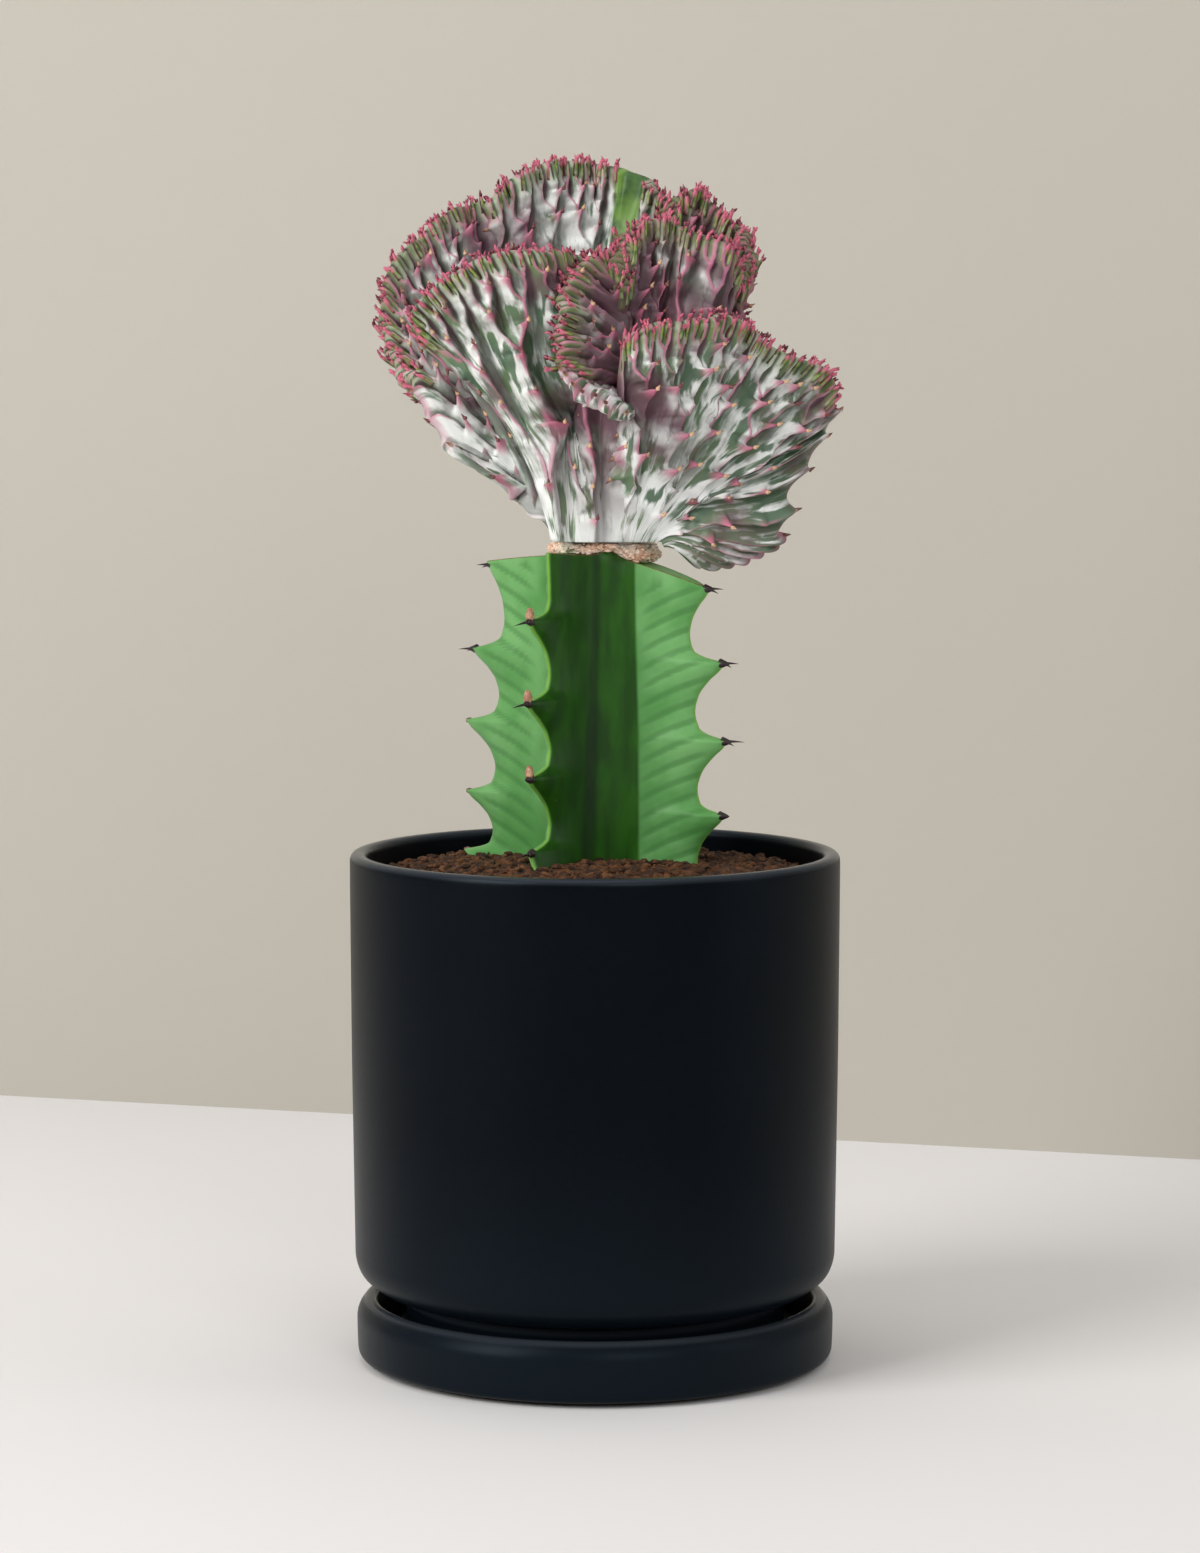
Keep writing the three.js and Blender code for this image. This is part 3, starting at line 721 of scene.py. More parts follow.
# painted shade: a line along the bottom of the front valley is darkened
valley_shade_mask = attribute_node(tree, "painted_valley_shade").outputs["Fac"]
dark_flesh_and_shade = mixed(tree, ranged(tree, valley_shade_mask, 0.0, 1.0, 0.0, 0.65), dark_flesh_and_shade, (0.004, 0.014, 0.003))
green = mixed(tree, attribute_node(tree, "light_face").outputs["Fac"], dark_flesh_and_shade, light_flesh)
vein_mask = attribute_node(tree, "vein").outputs["Fac"]
veined = mixed(tree, ranged(tree, vein_mask, 0.0, 1.0, 0.0, 0.50), green, (0.040, 0.165, 0.034))
edged = mixed(tree, edge_mask, veined, (0.17, 0.40, 0.04))
speck = tree.nodes.new("ShaderNodeTexVoronoi")
speck.inputs["Scale"].default_value = 210
tree.links.new(place, speck.inputs["Vector"])
speck_on = ranged(tree, speck.outputs["Distance"], 0.10, 0.05)
few = ranged(tree, noise(tree, place, 45, 2), 0.60, 0.66)
specked = mixed(tree, product(tree, speck_on, few), edged, (0.55, 0.42, 0.36))
corky = mixed(tree, ranged(tree, noise(tree, place, 700, 4), 0.4, 0.6), (0.13, 0.055, 0.022),
              (0.20, 0.15, 0.055))
tree.links.new(mixed(tree, ranged(tree, cut_mask, 0.5, 0.9), specked, corky), shader.inputs["Base Color"])
tree.links.new(ranged(tree, cloud, 0.3, 0.7, 0.36, 0.5), shader.inputs["Roughness"])
shader.inputs["Specular IOR Level"].default_value = 0.22
shader.inputs["Coat Weight"].default_value = 0.05
shader.inputs["Coat Roughness"].default_value = 0.35
shader.inputs["Subsurface Weight"].default_value = 0.12
shader.inputs["Subsurface Radius"].default_value = (0.3, 0.8, 0.2)
shader.inputs["Subsurface Scale"].default_value = 0.003
bump(tree, grainy, shader, 0.12, 0.0004)

stem = surface_object("winged_stem", [tuple(p) for p in stem_points * mm], stem_faces, stem_skin)
stem.data.shade_smooth()
stored(stem, "vein", stem_vein)
stored(stem, "light_face", light_face)
stored(stem, "wing_edge", stem_edge)
stored(stem, "painted_valley_shade", painted_valley_shade)
stored(stem, "cut_end", stem_cut)
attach(stem, "root")
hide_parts("rootstock")

# Stem spines
# Dead horny spines, dark brown to black, in spreading pairs on a small corky shield at each
# tooth of the stem, grown from the skin.


def curved_spike(start, direction, bend, length, radius, sides, rings, taper=0.9):
    """Points and faces of a tapered spike that bends towards a second direction."""
    direction = np.array(direction, float)
    direction /= np.linalg.norm(direction)
    bend = np.array(bend, float)
    helper = np.array([0, 0, 1.0]) if abs(direction[2]) < 0.9 else np.array([1.0, 0, 0])
    points, faces = [], []
    for ring in range(rings):
        t = ring / rings
        centre = start + direction * length * t + bend * length * t * t
        heading = direction + 2 * t * bend
        heading /= np.linalg.norm(heading)
        side = np.cross(heading, helper)
        side /= np.linalg.norm(side)
        other = np.cross(heading, side)
        width = radius * (1 - t) ** taper
        for k in range(sides):
            turn = 2 * math.pi * k / sides
            points.append(centre + width * (math.cos(turn) * side - math.sin(turn) * other))
    points.append(start + direction * length + bend * length)
    points.append(np.array(start, float))
    tip, base = len(points) - 2, len(points) - 1
    for ring in range(rings - 1):
        for k in range(sides):
            beside = (k + 1) % sides
            a = ring * sides
            b = a + sides
            faces.append((a + k, b + k, b + beside, a + beside))
    last = (rings - 1) * sides
    for k in range(sides):
        beside = (k + 1) % sides
        faces.append((last + k, tip, last + beside))
        faces.append((k, beside, base))
    return points, faces


class Gathered:
    """Many small closed shapes kept as one mesh, with one value per point for the material."""

    def __init__(self):
        self.points, self.faces, self.values = [], [], []

    def add(self, points, faces, values):
        start = len(self.points)
        self.points += [tuple(np.asarray(p) * mm) for p in points]
        self.faces += [tuple(start + index for index in face) for face in faces]
        self.values += [tuple(np.atleast_1d(value)) for value in values]

    def piece(self, name, value_name, material):
        piece = surface_object(name, self.points, self.faces, material)
        piece.data.shade_smooth()
        stored(piece, value_name, self.values, "FLOAT" if len(self.values[0]) == 1 else "FLOAT_VECTOR")
        return piece


spines = Gathered()
spine_rings, spine_sides = 6, 8
buried_radius = 32
front_wing = 2
bare_teeth = {(1, 2), (1, 3), (1, 4)}
fallen_spines = {(2, 3), (3, 3), (0, 2)}
for wing in range(4):
    for tooth in range(5):
        radius = tooth_radius * tooth_shares[wing, tooth]
        if radius < buried_radius:
            continue
        turn = math.radians(wing * 90 + wing_turn)
        outward = np.array([math.cos(turn), math.sin(turn), 0])
        sideways = np.array([-math.sin(turn), math.cos(turn), 0])
        up = np.array([0, 0, 1.0])
        tip = np.array([stem_x, 0, 0]) + outward * (radius - 0.9) + up * (tooth_heights[wing, tooth] - 0.2)
        if wing == front_wing and tooth < 4:
            scar = tip + up * 1.5 + crumb_corners @ np.array([outward * 1.1, sideways * 1.3, up * 2.4])
            spines.add(scar, crumb_faces, [0.0] * len(scar))
        if (wing, tooth) in bare_teeth:
            scar = tip - outward * 0.1 + crumb_corners @ np.array([outward * 1.3, sideways * 0.8, up * 0.9])
            spines.add(scar, crumb_faces, [0.32] * len(scar))
            continue
        along = list(np.repeat(0.4 + 0.6 * np.arange(spine_rings) / spine_rings, spine_sides)) + [1.0, 0.4]
        cushion, faces = curved_spike(tip - outward * 0.6, outward, up * 0, 2.9, 1.35, spine_sides,
                                      spine_rings, 0.75)
        spines.add(cushion, faces, along)
        if (wing, tooth) in fallen_spines:
            continue
        for side in (-1, 1):
            heading = outward + sideways * side * 0.42 + up * 0.1 * side
            length = 4.6 + 0.6 * math.sin(3 * wing + 2 * tooth + side)
            bend = -0.12 * up + 0.1 * side * sideways
            points, faces = curved_spike(tip, heading, bend, length, 0.50, spine_sides, spine_rings)
            spines.add(points, faces, along)

horn, tree, shader = new_material("dark_horn")
along = attribute_node(tree, "along_spine").outputs["Fac"]
streak = noise(tree, object_place(tree), 900, 3)
pale_or_dark = mixed(tree, ranged(tree, streak, 0.4, 0.62), (0.33, 0.15, 0.085), (0.55, 0.34, 0.20))
tree.links.new(mixed(tree, ranged(tree, along, 0.2, 0.4), pale_or_dark, (0.020, 0.010, 0.011)),
               shader.inputs["Base Color"])
shader.inputs["Roughness"].default_value = 0.45
stem_spines = spines.piece("stem_spines", "along_spine", horn)
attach(stem_spines, "root")
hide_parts("rootstock")

# Graft callus
# Dry corky tissue that has grown over the cut where the two plants were bound together: a
# lumpy tan and pinkish collar, cracked and darker in its folds.

callus_x, callus_y = 2.1, -1.0
callus_width, callus_depth = 13.6, 12.2
callus_top = 218.2
seat_gap = 0.35
callus_sides, callus_rows = 260, 26


def roughness_noise(a, b, seed):
    """Sum of waves that stands in for random lumps, always the same for the same seed."""
    total = np.zeros_like(a)
    for octave in range(5):
        k = 1.7 ** octave
        across_wave = np.sin(k * 2.1 * a + seed + 1.3 * octave)
        total += across_wave * np.sin(k * 1.9 * b - seed * 0.7 + 2.1 * octave) / k
    return total


callus_rings = []
for row in range(callus_rows):
    up_share = row / (callus_rows - 1)
    belly = 0.90 + 0.11 * math.sin(math.pi * min(1, up_share * 1.05)) ** 0.6
    turn = 2 * np.pi * np.arange(callus_sides) / callus_sides
    lump = 1 + 0.025 * np.sin(5 * turn + 1) + 0.03 * np.sin(9 * turn + 4 * up_share)
    rough = 0.034 * roughness_noise(9 * turn, np.full_like(turn, 5 * up_share), 2.0)
    rough += 0.030 * np.abs(roughness_noise(21 * turn, np.full_like(turn, 9 * up_share), 5.0))
    rough = rough * (0.45 + 0.55 * math.sin(math.pi * up_share))
    x = callus_x + callus_width * belly * (lump + rough) * np.cos(turn)
    y = callus_y + callus_depth * belly * (lump + rough) * np.sin(turn)
    angle = np.degrees(np.arctan2(y, x - stem_x)) - wing_turn
    low = dome_height(angle, np.hypot(x - stem_x, y)) + 0.1
    low = low + 0.35 * np.abs(roughness_noise(8 * turn, turn, 1.0))
    sag = 0.2 * np.sin(7 * turn) + 0.15 * np.sin(19 * turn + 2)
    height = low + (callus_top - low) * up_share + sag * math.sin(math.pi * up_share)
    callus_rings.append(np.stack([x, y, height], -1))
callus_points, callus_faces = ringed_solid(
    callus_rings, (stem_x, 0, stem_top + 0.2), (callus_x, callus_y, callus_top))

callus_points, wall_count = list(callus_points), callus_rows * callus_sides
random = np.random.default_rng(5)
for number in range(520):
    spot = callus_points[random.integers(2 * callus_sides, wall_count - 3 * callus_sides)]
    size = random.uniform(0.35, 1.05)
    stretch = size * np.array([random.uniform(0.6, 1.3), random.uniform(0.6, 1.3),
                               random.uniform(0.35, 0.7)])
    crumb = crumb_corners * stretch * (1 + random.normal(0, 0.14, (12, 1)))
    start = len(callus_points)
    callus_points += [spot + corner for corner in crumb]
    callus_faces += [tuple(start + index for index in face) for face in crumb_faces]
callus_points = np.array(callus_points)

cork, tree, shader = new_material("graft_cork")
place = object_place(tree)
fine = noise(tree, place, 650, 6, 0.65)
wide = noise(tree, place, 130, 3)
tan = mixed(tree, ranged(tree, wide, 0.4, 0.62), (0.88, 0.58, 0.42), (0.98, 0.86, 0.74))
cracked = mixed(tree, ranged(tree, fine, 0.33, 0.44), (0.26, 0.11, 0.06), tan)
tree.links.new(cracked, shader.inputs["Base Color"])
shader.inputs["Roughness"].default_value = 0.85
bump(tree, fine, shader, 0.8, 0.0008)
callus = surface_object("graft_cork_collar", [tuple(p) for p in callus_points * mm], callus_faces, cork)
callus.data.shade_smooth()
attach(callus, "root")
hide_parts("graft_callus")

# Crest
# The scion: one fleshy plant whose growing tip has become a long wavy line, so it makes thick
# fans instead of stems. Each fan is ribbed, the ribs fork towards the margin into a comb of
# fingers, and all the fans grow out of one trunk on the graft.

# Each fan is a sheet from its root to its margin, through points in millimetres, and rise and
# flare bow it on the way. The other values are its half thickness at root and margin, its share
# of green mottling, its purple from one end of the margin to the other, where the margin turns
# into flat teeth, the pitch of its ribs, how old its skin looks at the root, how long its margin
# teeth are, and how much the purple and painted shade of a fold shows on it.
fans = [
    dict(root=[(-4, -6, 214), (-3, 4, 220)], thick=(4.4, 2.2), mottle=0.15, purple=(0.0, 0.4, 0.95, 0.95),
         toothed=(0.38, 0.34), rise=[(0, -2, 0), (6, -3, 5.5), (6, -3, 5), (1, -3, 4), (-2, -3, 4)],
         flare=[(0, 0, 0), (1, 0, 3), (2, 0, 3), (-1, -1, 1), (-3, -2, 0)],
         margin=[(-22.5, -11, 237), (-30, -13, 240.5), (-37, -13.5, 243.5), (-43, -12, 251.5),
                 (-47.5, -10, 259.5), (-54.5, -5, 268), (-57.5, 3, 281), (-54.5, 9, 292.5),
                 (-48, 14, 298.8), (-41, 19, 305.5), (-33, 24, 308.6), (-23, 27, 308.5)]),
    dict(root=[(-5, 4, 226), (8, 3, 226)], thick=(6, 2.3), mottle=0.2, purple=(0.4, 0.1, 0.1, 1.6),
         rise=[(0, 4, 0), (0, 4, 0)], flare=[(0, 6, 0), (0, 6, 0)],
         margin=[(-30, 15, 308), (-21, 19, 316.3), (-11, 24, 320), (0, 25, 319.3), (9, 21, 317.5),
                 (15, 15, 314), (19, 10, 308), (20, 8, 300)]),
    dict(root=[(-8, -6, 213), (-1, -9, 213)], thick=(6, 2.3), mottle=0.7, purple=(0.3, 0.5),
         rise=[(6, -5, 15), (0, -4, 4)], flare=[(4, -3, 8), (2, -2, 0)],
         margin=[(-44, -18, 268), (-48.5, -17, 277.5), (-43.5, -20, 284.5), (-36, -23, 289.8),
                 (-28, -24.5, 293.8), (-19, -23, 295.3), (-10, -18, 295), (-3, -10, 293.5)]),
    dict(root=[(8, -22, 259), (8, -8, 284)], thick=(3.4, 2.2), mottle=0.25, purple=(1.5, 1.0), pitch=31.0,
         age=30, rise=[(-1, 0, 0), (-1, 0, 0)], flare=[(0, -2, 0), (0, -2, 0)],
         margin=[(-5, -34, 260.5), (-9, -35.5, 265), (-10, -33.5, 271), (-9.5, -30, 278),
                 (-8.8, -26.5, 284), (-6, -22, 289), (0, -16, 293.5), (7, -10, 294)]),
    dict(root=[(-5, -9, 213), (8, -9, 213)], thick=(5, 3.0), mottle=0.3, purple=(1.3, 1.1),
         toothed=(-2, -1), rise=[(0, -3, 0), (0, -3, 0)], flare=[(0, -2, 0), (0, -2, 0)],
         margin=[(-9, -14, 247), (-2, -17, 254), (6, -21, 259), (14, -23, 262)]),
    dict(root=[(2, -2, 226), (10, -4, 226)], thick=(6, 2.3), mottle=0.35, purple=(1.3, 1.3), pitch=30.0,
         rise=[(1, -2, 0), (1, -2, 0)], flare=[(0, -3, 0), (0, -3, 0)],
         margin=[(8, -19, 285), (7, -16, 296), (11, -11, 302), (18, -8, 303.6), (25, -9, 300.5),
                 (31, -12, 298.5), (37, -11, 295), (38, -9, 287)]),
    dict(root=[(6, 3, 226), (12, -1, 226)], thick=(5.5, 2.2), mottle=0.3, purple=(1.4, 1.4), pitch=30.0,
         rise=[(1, 2, 0), (1, 2, 0)], flare=[(1, 3, 0), (1, 3, 0)],
         margin=[(20, 5, 304), (23, 9, 310.5), (28, 12, 312.2), (32, 11, 308), (37, 7, 303.5),
                 (40.4, 1, 299), (40.4, -4, 291), (36, -8, 284)]),
    dict(root=[(4, -9, 214), (14, -5, 219)], thick=(6.3, 2.2), mottle=1.0, purple=(0.5, 0.5, 0.8, 1.1),
         toothed=(0.55, 0.59), rise=[(2, -6, 6), (2, -6, 6)], flare=[(1, -3, -1), (1, -3, -1)],
         margin=[(6, -32, 268), (9, -33, 273.5), (17, -31, 276.5), (26, -29, 277.3), (34, -25, 278.5),
                 (40, -20, 276), (46, -17, 270.5), (54, -14, 267), (62, -11, 263.5), (63.5, -9, 254),
                 (59.5, -10, 246), (55, -12, 238), (50.5, -13, 231), (49, -13, 222.5), (41, -11, 217.5),
                 (32, -8, 214.8), (24, -5, 214.5)]),
    dict(root=[(11, 3, 224), (-6, 4, 224)], thick=(5.5, 2.4), mottle=0.5, purple=(0.5, 0.5),
         rise=[(0, 5, 0), (0, 5, 0)], flare=[(0, 9, -3), (0, 9, -3)],
         margin=[(42, 12, 262), (38, 20, 276), (27, 28, 284), (13, 31, 281), (0, 34, 286),
                 (-14, 32, 291), (-28, 28, 288), (-37, 22, 280), (-40, 15, 270)]),
    dict(root=[(13, -25, 251), (3, -17, 258)], thick=(3.0, 1.9), mottle=0.8, purple=(-0.5, -0.3),
         toothed=(-2, -1), pitch=14, age=30, tooth=0.55, folded=0.15,
         rise=[(-1, 0, 0), (-1, 0, 0)], flare=[(-1, -1, -1), (-1, -1, -1)],
         margin=[(10, -33, 250.5), (5, -35.5, 254), (0, -36.5, 256.5), (-4.5, -36.5, 259), (-9, -36, 264)]),
]
torn_fan = 1
torn_from, torn_to = 43.0, 53.5
hidden_fan = 8
hollow_fans = (2, 4)
hollow_x, hollow_z, hollow_depth = -6.5, 250.5, 6.5
rib_pitch = 36.0
side_taper = 9.0
tooth_pitch = 9.6
# each rib forks four times: twice as the fan widens, and twice within these reaches of the margin
widening_forks = ((0.20, 0.45), (0.78, 1.05))
margin_forks = ((50, 34), (26, 17), (14, 8.5), (7.5, 4.2))
grid_pitch = 0.45
widest = 64.6
margin_tooth_length, edge_tooth_length, edge_tooth_pitch = 3.8, 3.3, 8.0
# where a margin has stopped growing, its skin is coloured as if it were this much further from it
settled_skin = 25
sheet_values = ("to_margin", "rib", "ridge", "painted_lee_shade", "spur", "rib_run", "fleck", "fold_pigment_and_shade", "torn",
                "purple", "cross")


def margin_curve(points, u):
    """The same smooth curve through the margin's points as the solid crest has."""
    points = np.array(points, float)
    ends = np.concatenate([[2 * points[0] - points[1]], points, [2 * points[-1] - points[-2]]])
    spans = len(points) - 1
    position = np.clip(u, 0, 1) * spans
    k = np.minimum(position.astype(int), spans - 1)
    t = (position - k)[:, None]
    before, here, there, after = ends[k], ends[k + 1], ends[k + 2], ends[k + 3]
    leave = 0.5 * (there - before)
    arrive = 0.5 * (after - here)
    return ((2 * here - 2 * there + leave + arrive) * t ** 3
            + (-3 * here + 3 * there - 2 * leave - arrive) * t ** 2 + leave * t + here)


def rounded_end(distance, width):
    share = np.clip(distance / width, 0, 1)
    return np.sqrt(1 - (1 - share) ** 2)


def normalised(vectors):
    return vectors / np.maximum(np.linalg.norm(vectors, axis=-1, keepdims=True), 1e-9)


def peaks_above(least, values):
    """Where a row of values has its local peaks."""
    peaks = (values > least) & (values >= np.roll(values, 1)) & (values > np.roll(values, -1))
    return np.nonzero(peaks)[0]


def scattered(number, seed):
    return np.mod(np.sin(number * 12.9898 + seed * 78.233) * 43758.5453, 1.0)


def green_flecks(across, run, wide, coverage, seed):
    """Short green streaks along the ribs, in clusters: how green each point is, from 0 up."""
    chance = np.random.default_rng(seed)
    columns, rows = run.shape
    step_across = np.abs(np.diff(across[:, 0])).mean()
    step_run = np.diff(run, axis=1).mean()
    area = (wide * step_across * step_run).sum()
    mask = np.zeros((columns, rows))
    for _ in range(int(area * 0.42)):
        i, j = chance.integers(columns), chance.integers(rows)
        if chance.random() > wide[i, j]:
            continue
        cluster = 0.5 + 0.5 * math.sin(across[i, j] / 5.3 + seed) * math.sin(run[i, j] / 8.7 + 2.1 * seed)
        if chance.random() > coverage * (0.25 + 1.2 * cluster):
            continue
        half_width = chance.uniform(0.28, 0.70)
        half_length = chance.uniform(1.2, 4.2)
        lean = chance.normal(0, 0.10)
        reach_i = int(2.6 * half_width / (step_across * wide[i, j]) + 6)
        reach_j = int(2.2 * half_length / step_run)
        part = (slice(max(0, i - reach_i), i + reach_i + 1), slice(max(0, j - reach_j), j + reach_j + 1))
        along = run[part] - run[i, j]
        beside = (across[part] - across[i, j]) * wide[part] + lean * along
        fleck = np.exp(-(beside / half_width) ** 2 - (along / half_length) ** 2)
        mask[part] += chance.uniform(0.6, 1.0) * fleck
    return mask


class Fan:
    """One fan as a fine closed surface, with what its material and its spines need to know."""

    def __init__(self, number, shape):
        self.number = number
        pitch = grid_pitch * (1.8 if number == hidden_fan else 1)
        sample = np.linspace(0, 1, 800)
        margin = margin_curve(shape["margin"], sample)
        run = np.concatenate([[0], np.cumsum(np.linalg.norm(np.diff(margin, axis=0), axis=1))])
        self.length = run[-1]
        columns = max(24, int(self.length / pitch))
        s = np.linspace(0, self.length, columns + 1)
        u = np.interp(s, run, sample)

        def between(values):
            stops = np.linspace(0, 1, len(values))
            return np.stack([np.interp(u, stops, column) for column in zip(*values)], -1)

        start, end = between(shape["root"]), margin_curve(shape["margin"], u)
        lower = start + 0.33 * (end - start) + between(shape["rise"])
        upper = start + 0.70 * (end - start) + between(shape["flare"])
        longest = np.linalg.norm(end - start, axis=1).max()
        rows = max(16, int(longest / (pitch * 1.75)))
        # the sheet stops a little short of the margin, because the fingers stand beyond it
        v = np.linspace(0, 1, rows + 1) ** 0.85 * 0.982
        vv = v[None, :, None]
        surface = (start[:, None] * (1 - vv) ** 3 + lower[:, None] * 3 * (1 - vv) ** 2 * vv
                   + upper[:, None] * 3 * (1 - vv) * vv ** 2 + end[:, None] * vv ** 3)
        beside_hollow = (surface[..., 0] - hollow_x) / 5.0
        above_hollow = (surface[..., 2] - hollow_z) / 8.5
        self.hollow = np.exp(-beside_hollow ** 2 - above_hollow ** 2)
        self.hollow *= number in hollow_fans
        surface[..., 1] += hollow_depth * self.hollow
        across = normalised(np.gradient(surface, axis=0))
        up = normalised(np.gradient(surface, axis=1))
        face = normalised(np.cross(across, up))
        rib_run = np.concatenate(
            [np.zeros((columns + 1, 1)),
             np.cumsum(np.linalg.norm(np.diff(surface, axis=1), axis=2), axis=1)], axis=1)
        to_margin = rib_run[:, -1:] - rib_run
        ss = s[:, None] + 1.3 * np.sin(rib_run / 9.0 + number) + 0.9 * np.sin(s[:, None] / 7.3 + 2 * number)
        side_distance = np.minimum(s, self.length - s)[:, None]
        near_side = rounded_end(side_distance, side_taper)
        thick = shape["thick"][0] + (shape["thick"][1] - shape["thick"][0]) * v[None, :]
        half = thick * near_side * rounded_end(to_margin, 1.8)
        fade = rounded_end(side_distance, 3.0) * rounded_end(rib_run, 3.0)
        torn = smooth_between(torn_from - 1.5, torn_from + 1, s)
        torn = torn * smooth_between(torn_to + 1.5, torn_to - 1, s)
        torn = torn[:, None] * np.ones_like(rib_run) * (number == torn_fan)
        wide = np.linalg.norm(np.gradient(surface, axis=0), axis=2) / (s[1] - s[0])
        # the oldest part of some margins has stopped growing: broad ribs end there in flat teeth
        toothed = smooth_between(*shape.get("toothed", (2, 3)), u)[:, None] * np.ones_like(rib_run)
        forks = [smooth_between(*reach, to_margin) for reach in margin_forks]
        finer = smooth_between(0.80, 0.88, u)[:, None]
        forks[2] = forks[2] * (1 - toothed * (1 - finer))
        forks[3] = forks[3] * (1 - toothed)
        for level, reach in enumerate(widening_forks):
            forks[level] = np.maximum(forks[level], smooth_between(*reach, wide))
        full_pitch = shape.get("pitch", rib_pitch)
        spacing = full_pitch * wide
        for fork in forks:
            spacing = spacing / (1 + fork)
        # no teeth where a rib has only begun to fork and is still broad
        settled = np.ones_like(wide)
        for level, fork in enumerate(forks):
            parted = full_pitch * wide * fork / 2 ** (level + 1)
            settled = settled * (1 - smooth_between(0.2, 0.7, parted) * smooth_between(3.6, 2.4, parted))
        reach_up = 0.42 * np.median(rib_run[:, -1])
        grown = smooth_between(0.10, 0.85, rib_run / reach_up)
        self.sheets = []
        for side in (1, -1):
            seed = number + (3.3 if side < 0 else 0)
            turn = ss / full_pitch + (0.0 if side > 0 else 0.11) + 0.37 * number
            rib = np.floor(turn)
            profile, path, beside = (np.zeros_like(turn) for _ in range(3))
            for cell, signs in itertools.product((-1, 0, 1), itertools.product((-1, 1), repeat=4)):
                line = 0.5 + cell + sum(sign * fork / 2 ** (level + 2)
                                        for level, (sign, fork) in enumerate(zip(signs, forks)))
                offset = (turn - rib - line) * full_pitch * wide
                this = np.where(offset < 0, 1 + offset / (0.78 * spacing), 1 - offset / (0.36 * spacing))
                way = 0.61 * cell + sum(sign * fork * weight for sign, fork, weight
                                        in zip(signs, forks, (0.37, 0.22, 0.29, 0.4)))
                path = np.where(this > profile, way, path)
                beside = np.where(this > profile, offset, beside)
                profile = np.maximum(this, profile)
            profile = profile ** 1.2
            size = np.clip(0.56 * spacing, 0.9, 4.9) * (0.22 + 0.78 * grown)
            size = size * (0.85 + 0.2 * np.sin(5 * path + 7 * scattered(rib, seed)))
            q = np.mod(rib_run / tooth_pitch + scattered(rib, seed + 1) + path, 1.0)
            saw = np.where(q < 0.84, (q / 0.84) ** 1.7, (1 - q) / 0.16)
            zone = smooth_between(0.3, 0.7, rib_run / reach_up) * smooth_between(4, 8, to_margin) * (1 - torn)
            zone = zone * smooth_between(2.5, 6, side_distance) * settled
            spur = np.clip(1 - np.abs(beside) / 1.9, 0, 1) * smooth_between(0.42, 1.0, saw) * zone
            # painted shadow: the notch just above each tooth is darkened in the skin colour
            painted_notch_shadow = np.clip(1 - np.abs(beside) / 3.2, 0, 1) * smooth_between(0.36, 0.03, q) * zone
            relief = size * (profile * (1 - 0.38 * zone * (1 - saw)) - 0.40) + 2.5 * spur
            relief = relief * (1 - 0.85 * torn)
            height = np.maximum(half + relief * fade * rounded_end(to_margin, 1.5), 0.25 * half)
            border = np.zeros_like(height, dtype=bool)
            border[0] = border[-1] = True
            border[:, 0] = border[:, -1] = True
            height[border] = 0
            lean = 0.20 * spacing * profile ** 2 * grown + 1.1 * spur
            lean = lean * fade * smooth_between(0, 5, to_margin) * (1 - torn)
            edge_turn = rib_run / edge_tooth_pitch + 0.5 * np.sin(rib_run / 6.0 + number)
            edge_saw = np.mod(edge_turn + 0.4 * number, 1.0)
            edge_saw = np.where(edge_saw < 0.84, (edge_saw / 0.84) ** 2, (1 - edge_saw) / 0.16)
            edge_tooth = edge_tooth_length * edge_saw * (0.65 + 0.35 * np.sin(rib_run / 5.0 + 3 * number))
            edge_tooth = edge_tooth * np.clip(1 - side_distance / 4.5, 0, 1) ** 1.5 * grown
            edge_tooth = edge_tooth * smooth_between(1, 6, to_margin)
            if side > 0:
                margin_tooth = shape.get("tooth", 1) * (margin_tooth_length + 1.8 * finer) * toothed
                margin_tooth = margin_tooth * profile ** 2.4 * smooth_between(6.0, 0, to_margin)
            uneven = 1.1 * np.sin(rib_run / 3.1 + 2 * number) * np.clip(1 - side_distance / 7, 0, 1) * grown
            outward = np.where(s < self.length / 2, -1, 1)[:, None] * edge_tooth + uneven
            wave = 1.3 * np.sin(2 * np.pi * ss / 9.0) * smooth_between(20, 4, to_margin)
            wave = wave * near_side * (1 - 0.7 * toothed)
            raised = surface + face * (side * height + wave)[..., None]
            points = (raised + (lean + outward)[..., None] * across
                      + (2.0 * spur * fade + margin_tooth)[..., None] * up)
            points[..., 0] = np.clip(points[..., 0], -widest, widest)
            flat = np.ones_like(rib_run)
            side_ridge = np.exp(-(side_distance * np.clip(wide, 0.1, 2) / 1.1) ** 2)
            patchy = np.sin(rib_run / 2.3 + 2 * np.sin(rib_run / 6.1) + 3 * number)
            side_ridge = side_ridge * (0.62 + 0.38 * patchy)
            fleck = green_flecks(ss, rib_run, np.clip(wide, 0.05, 1), shape["mottle"],
                                 11 * number + (5 if side < 0 else 1))
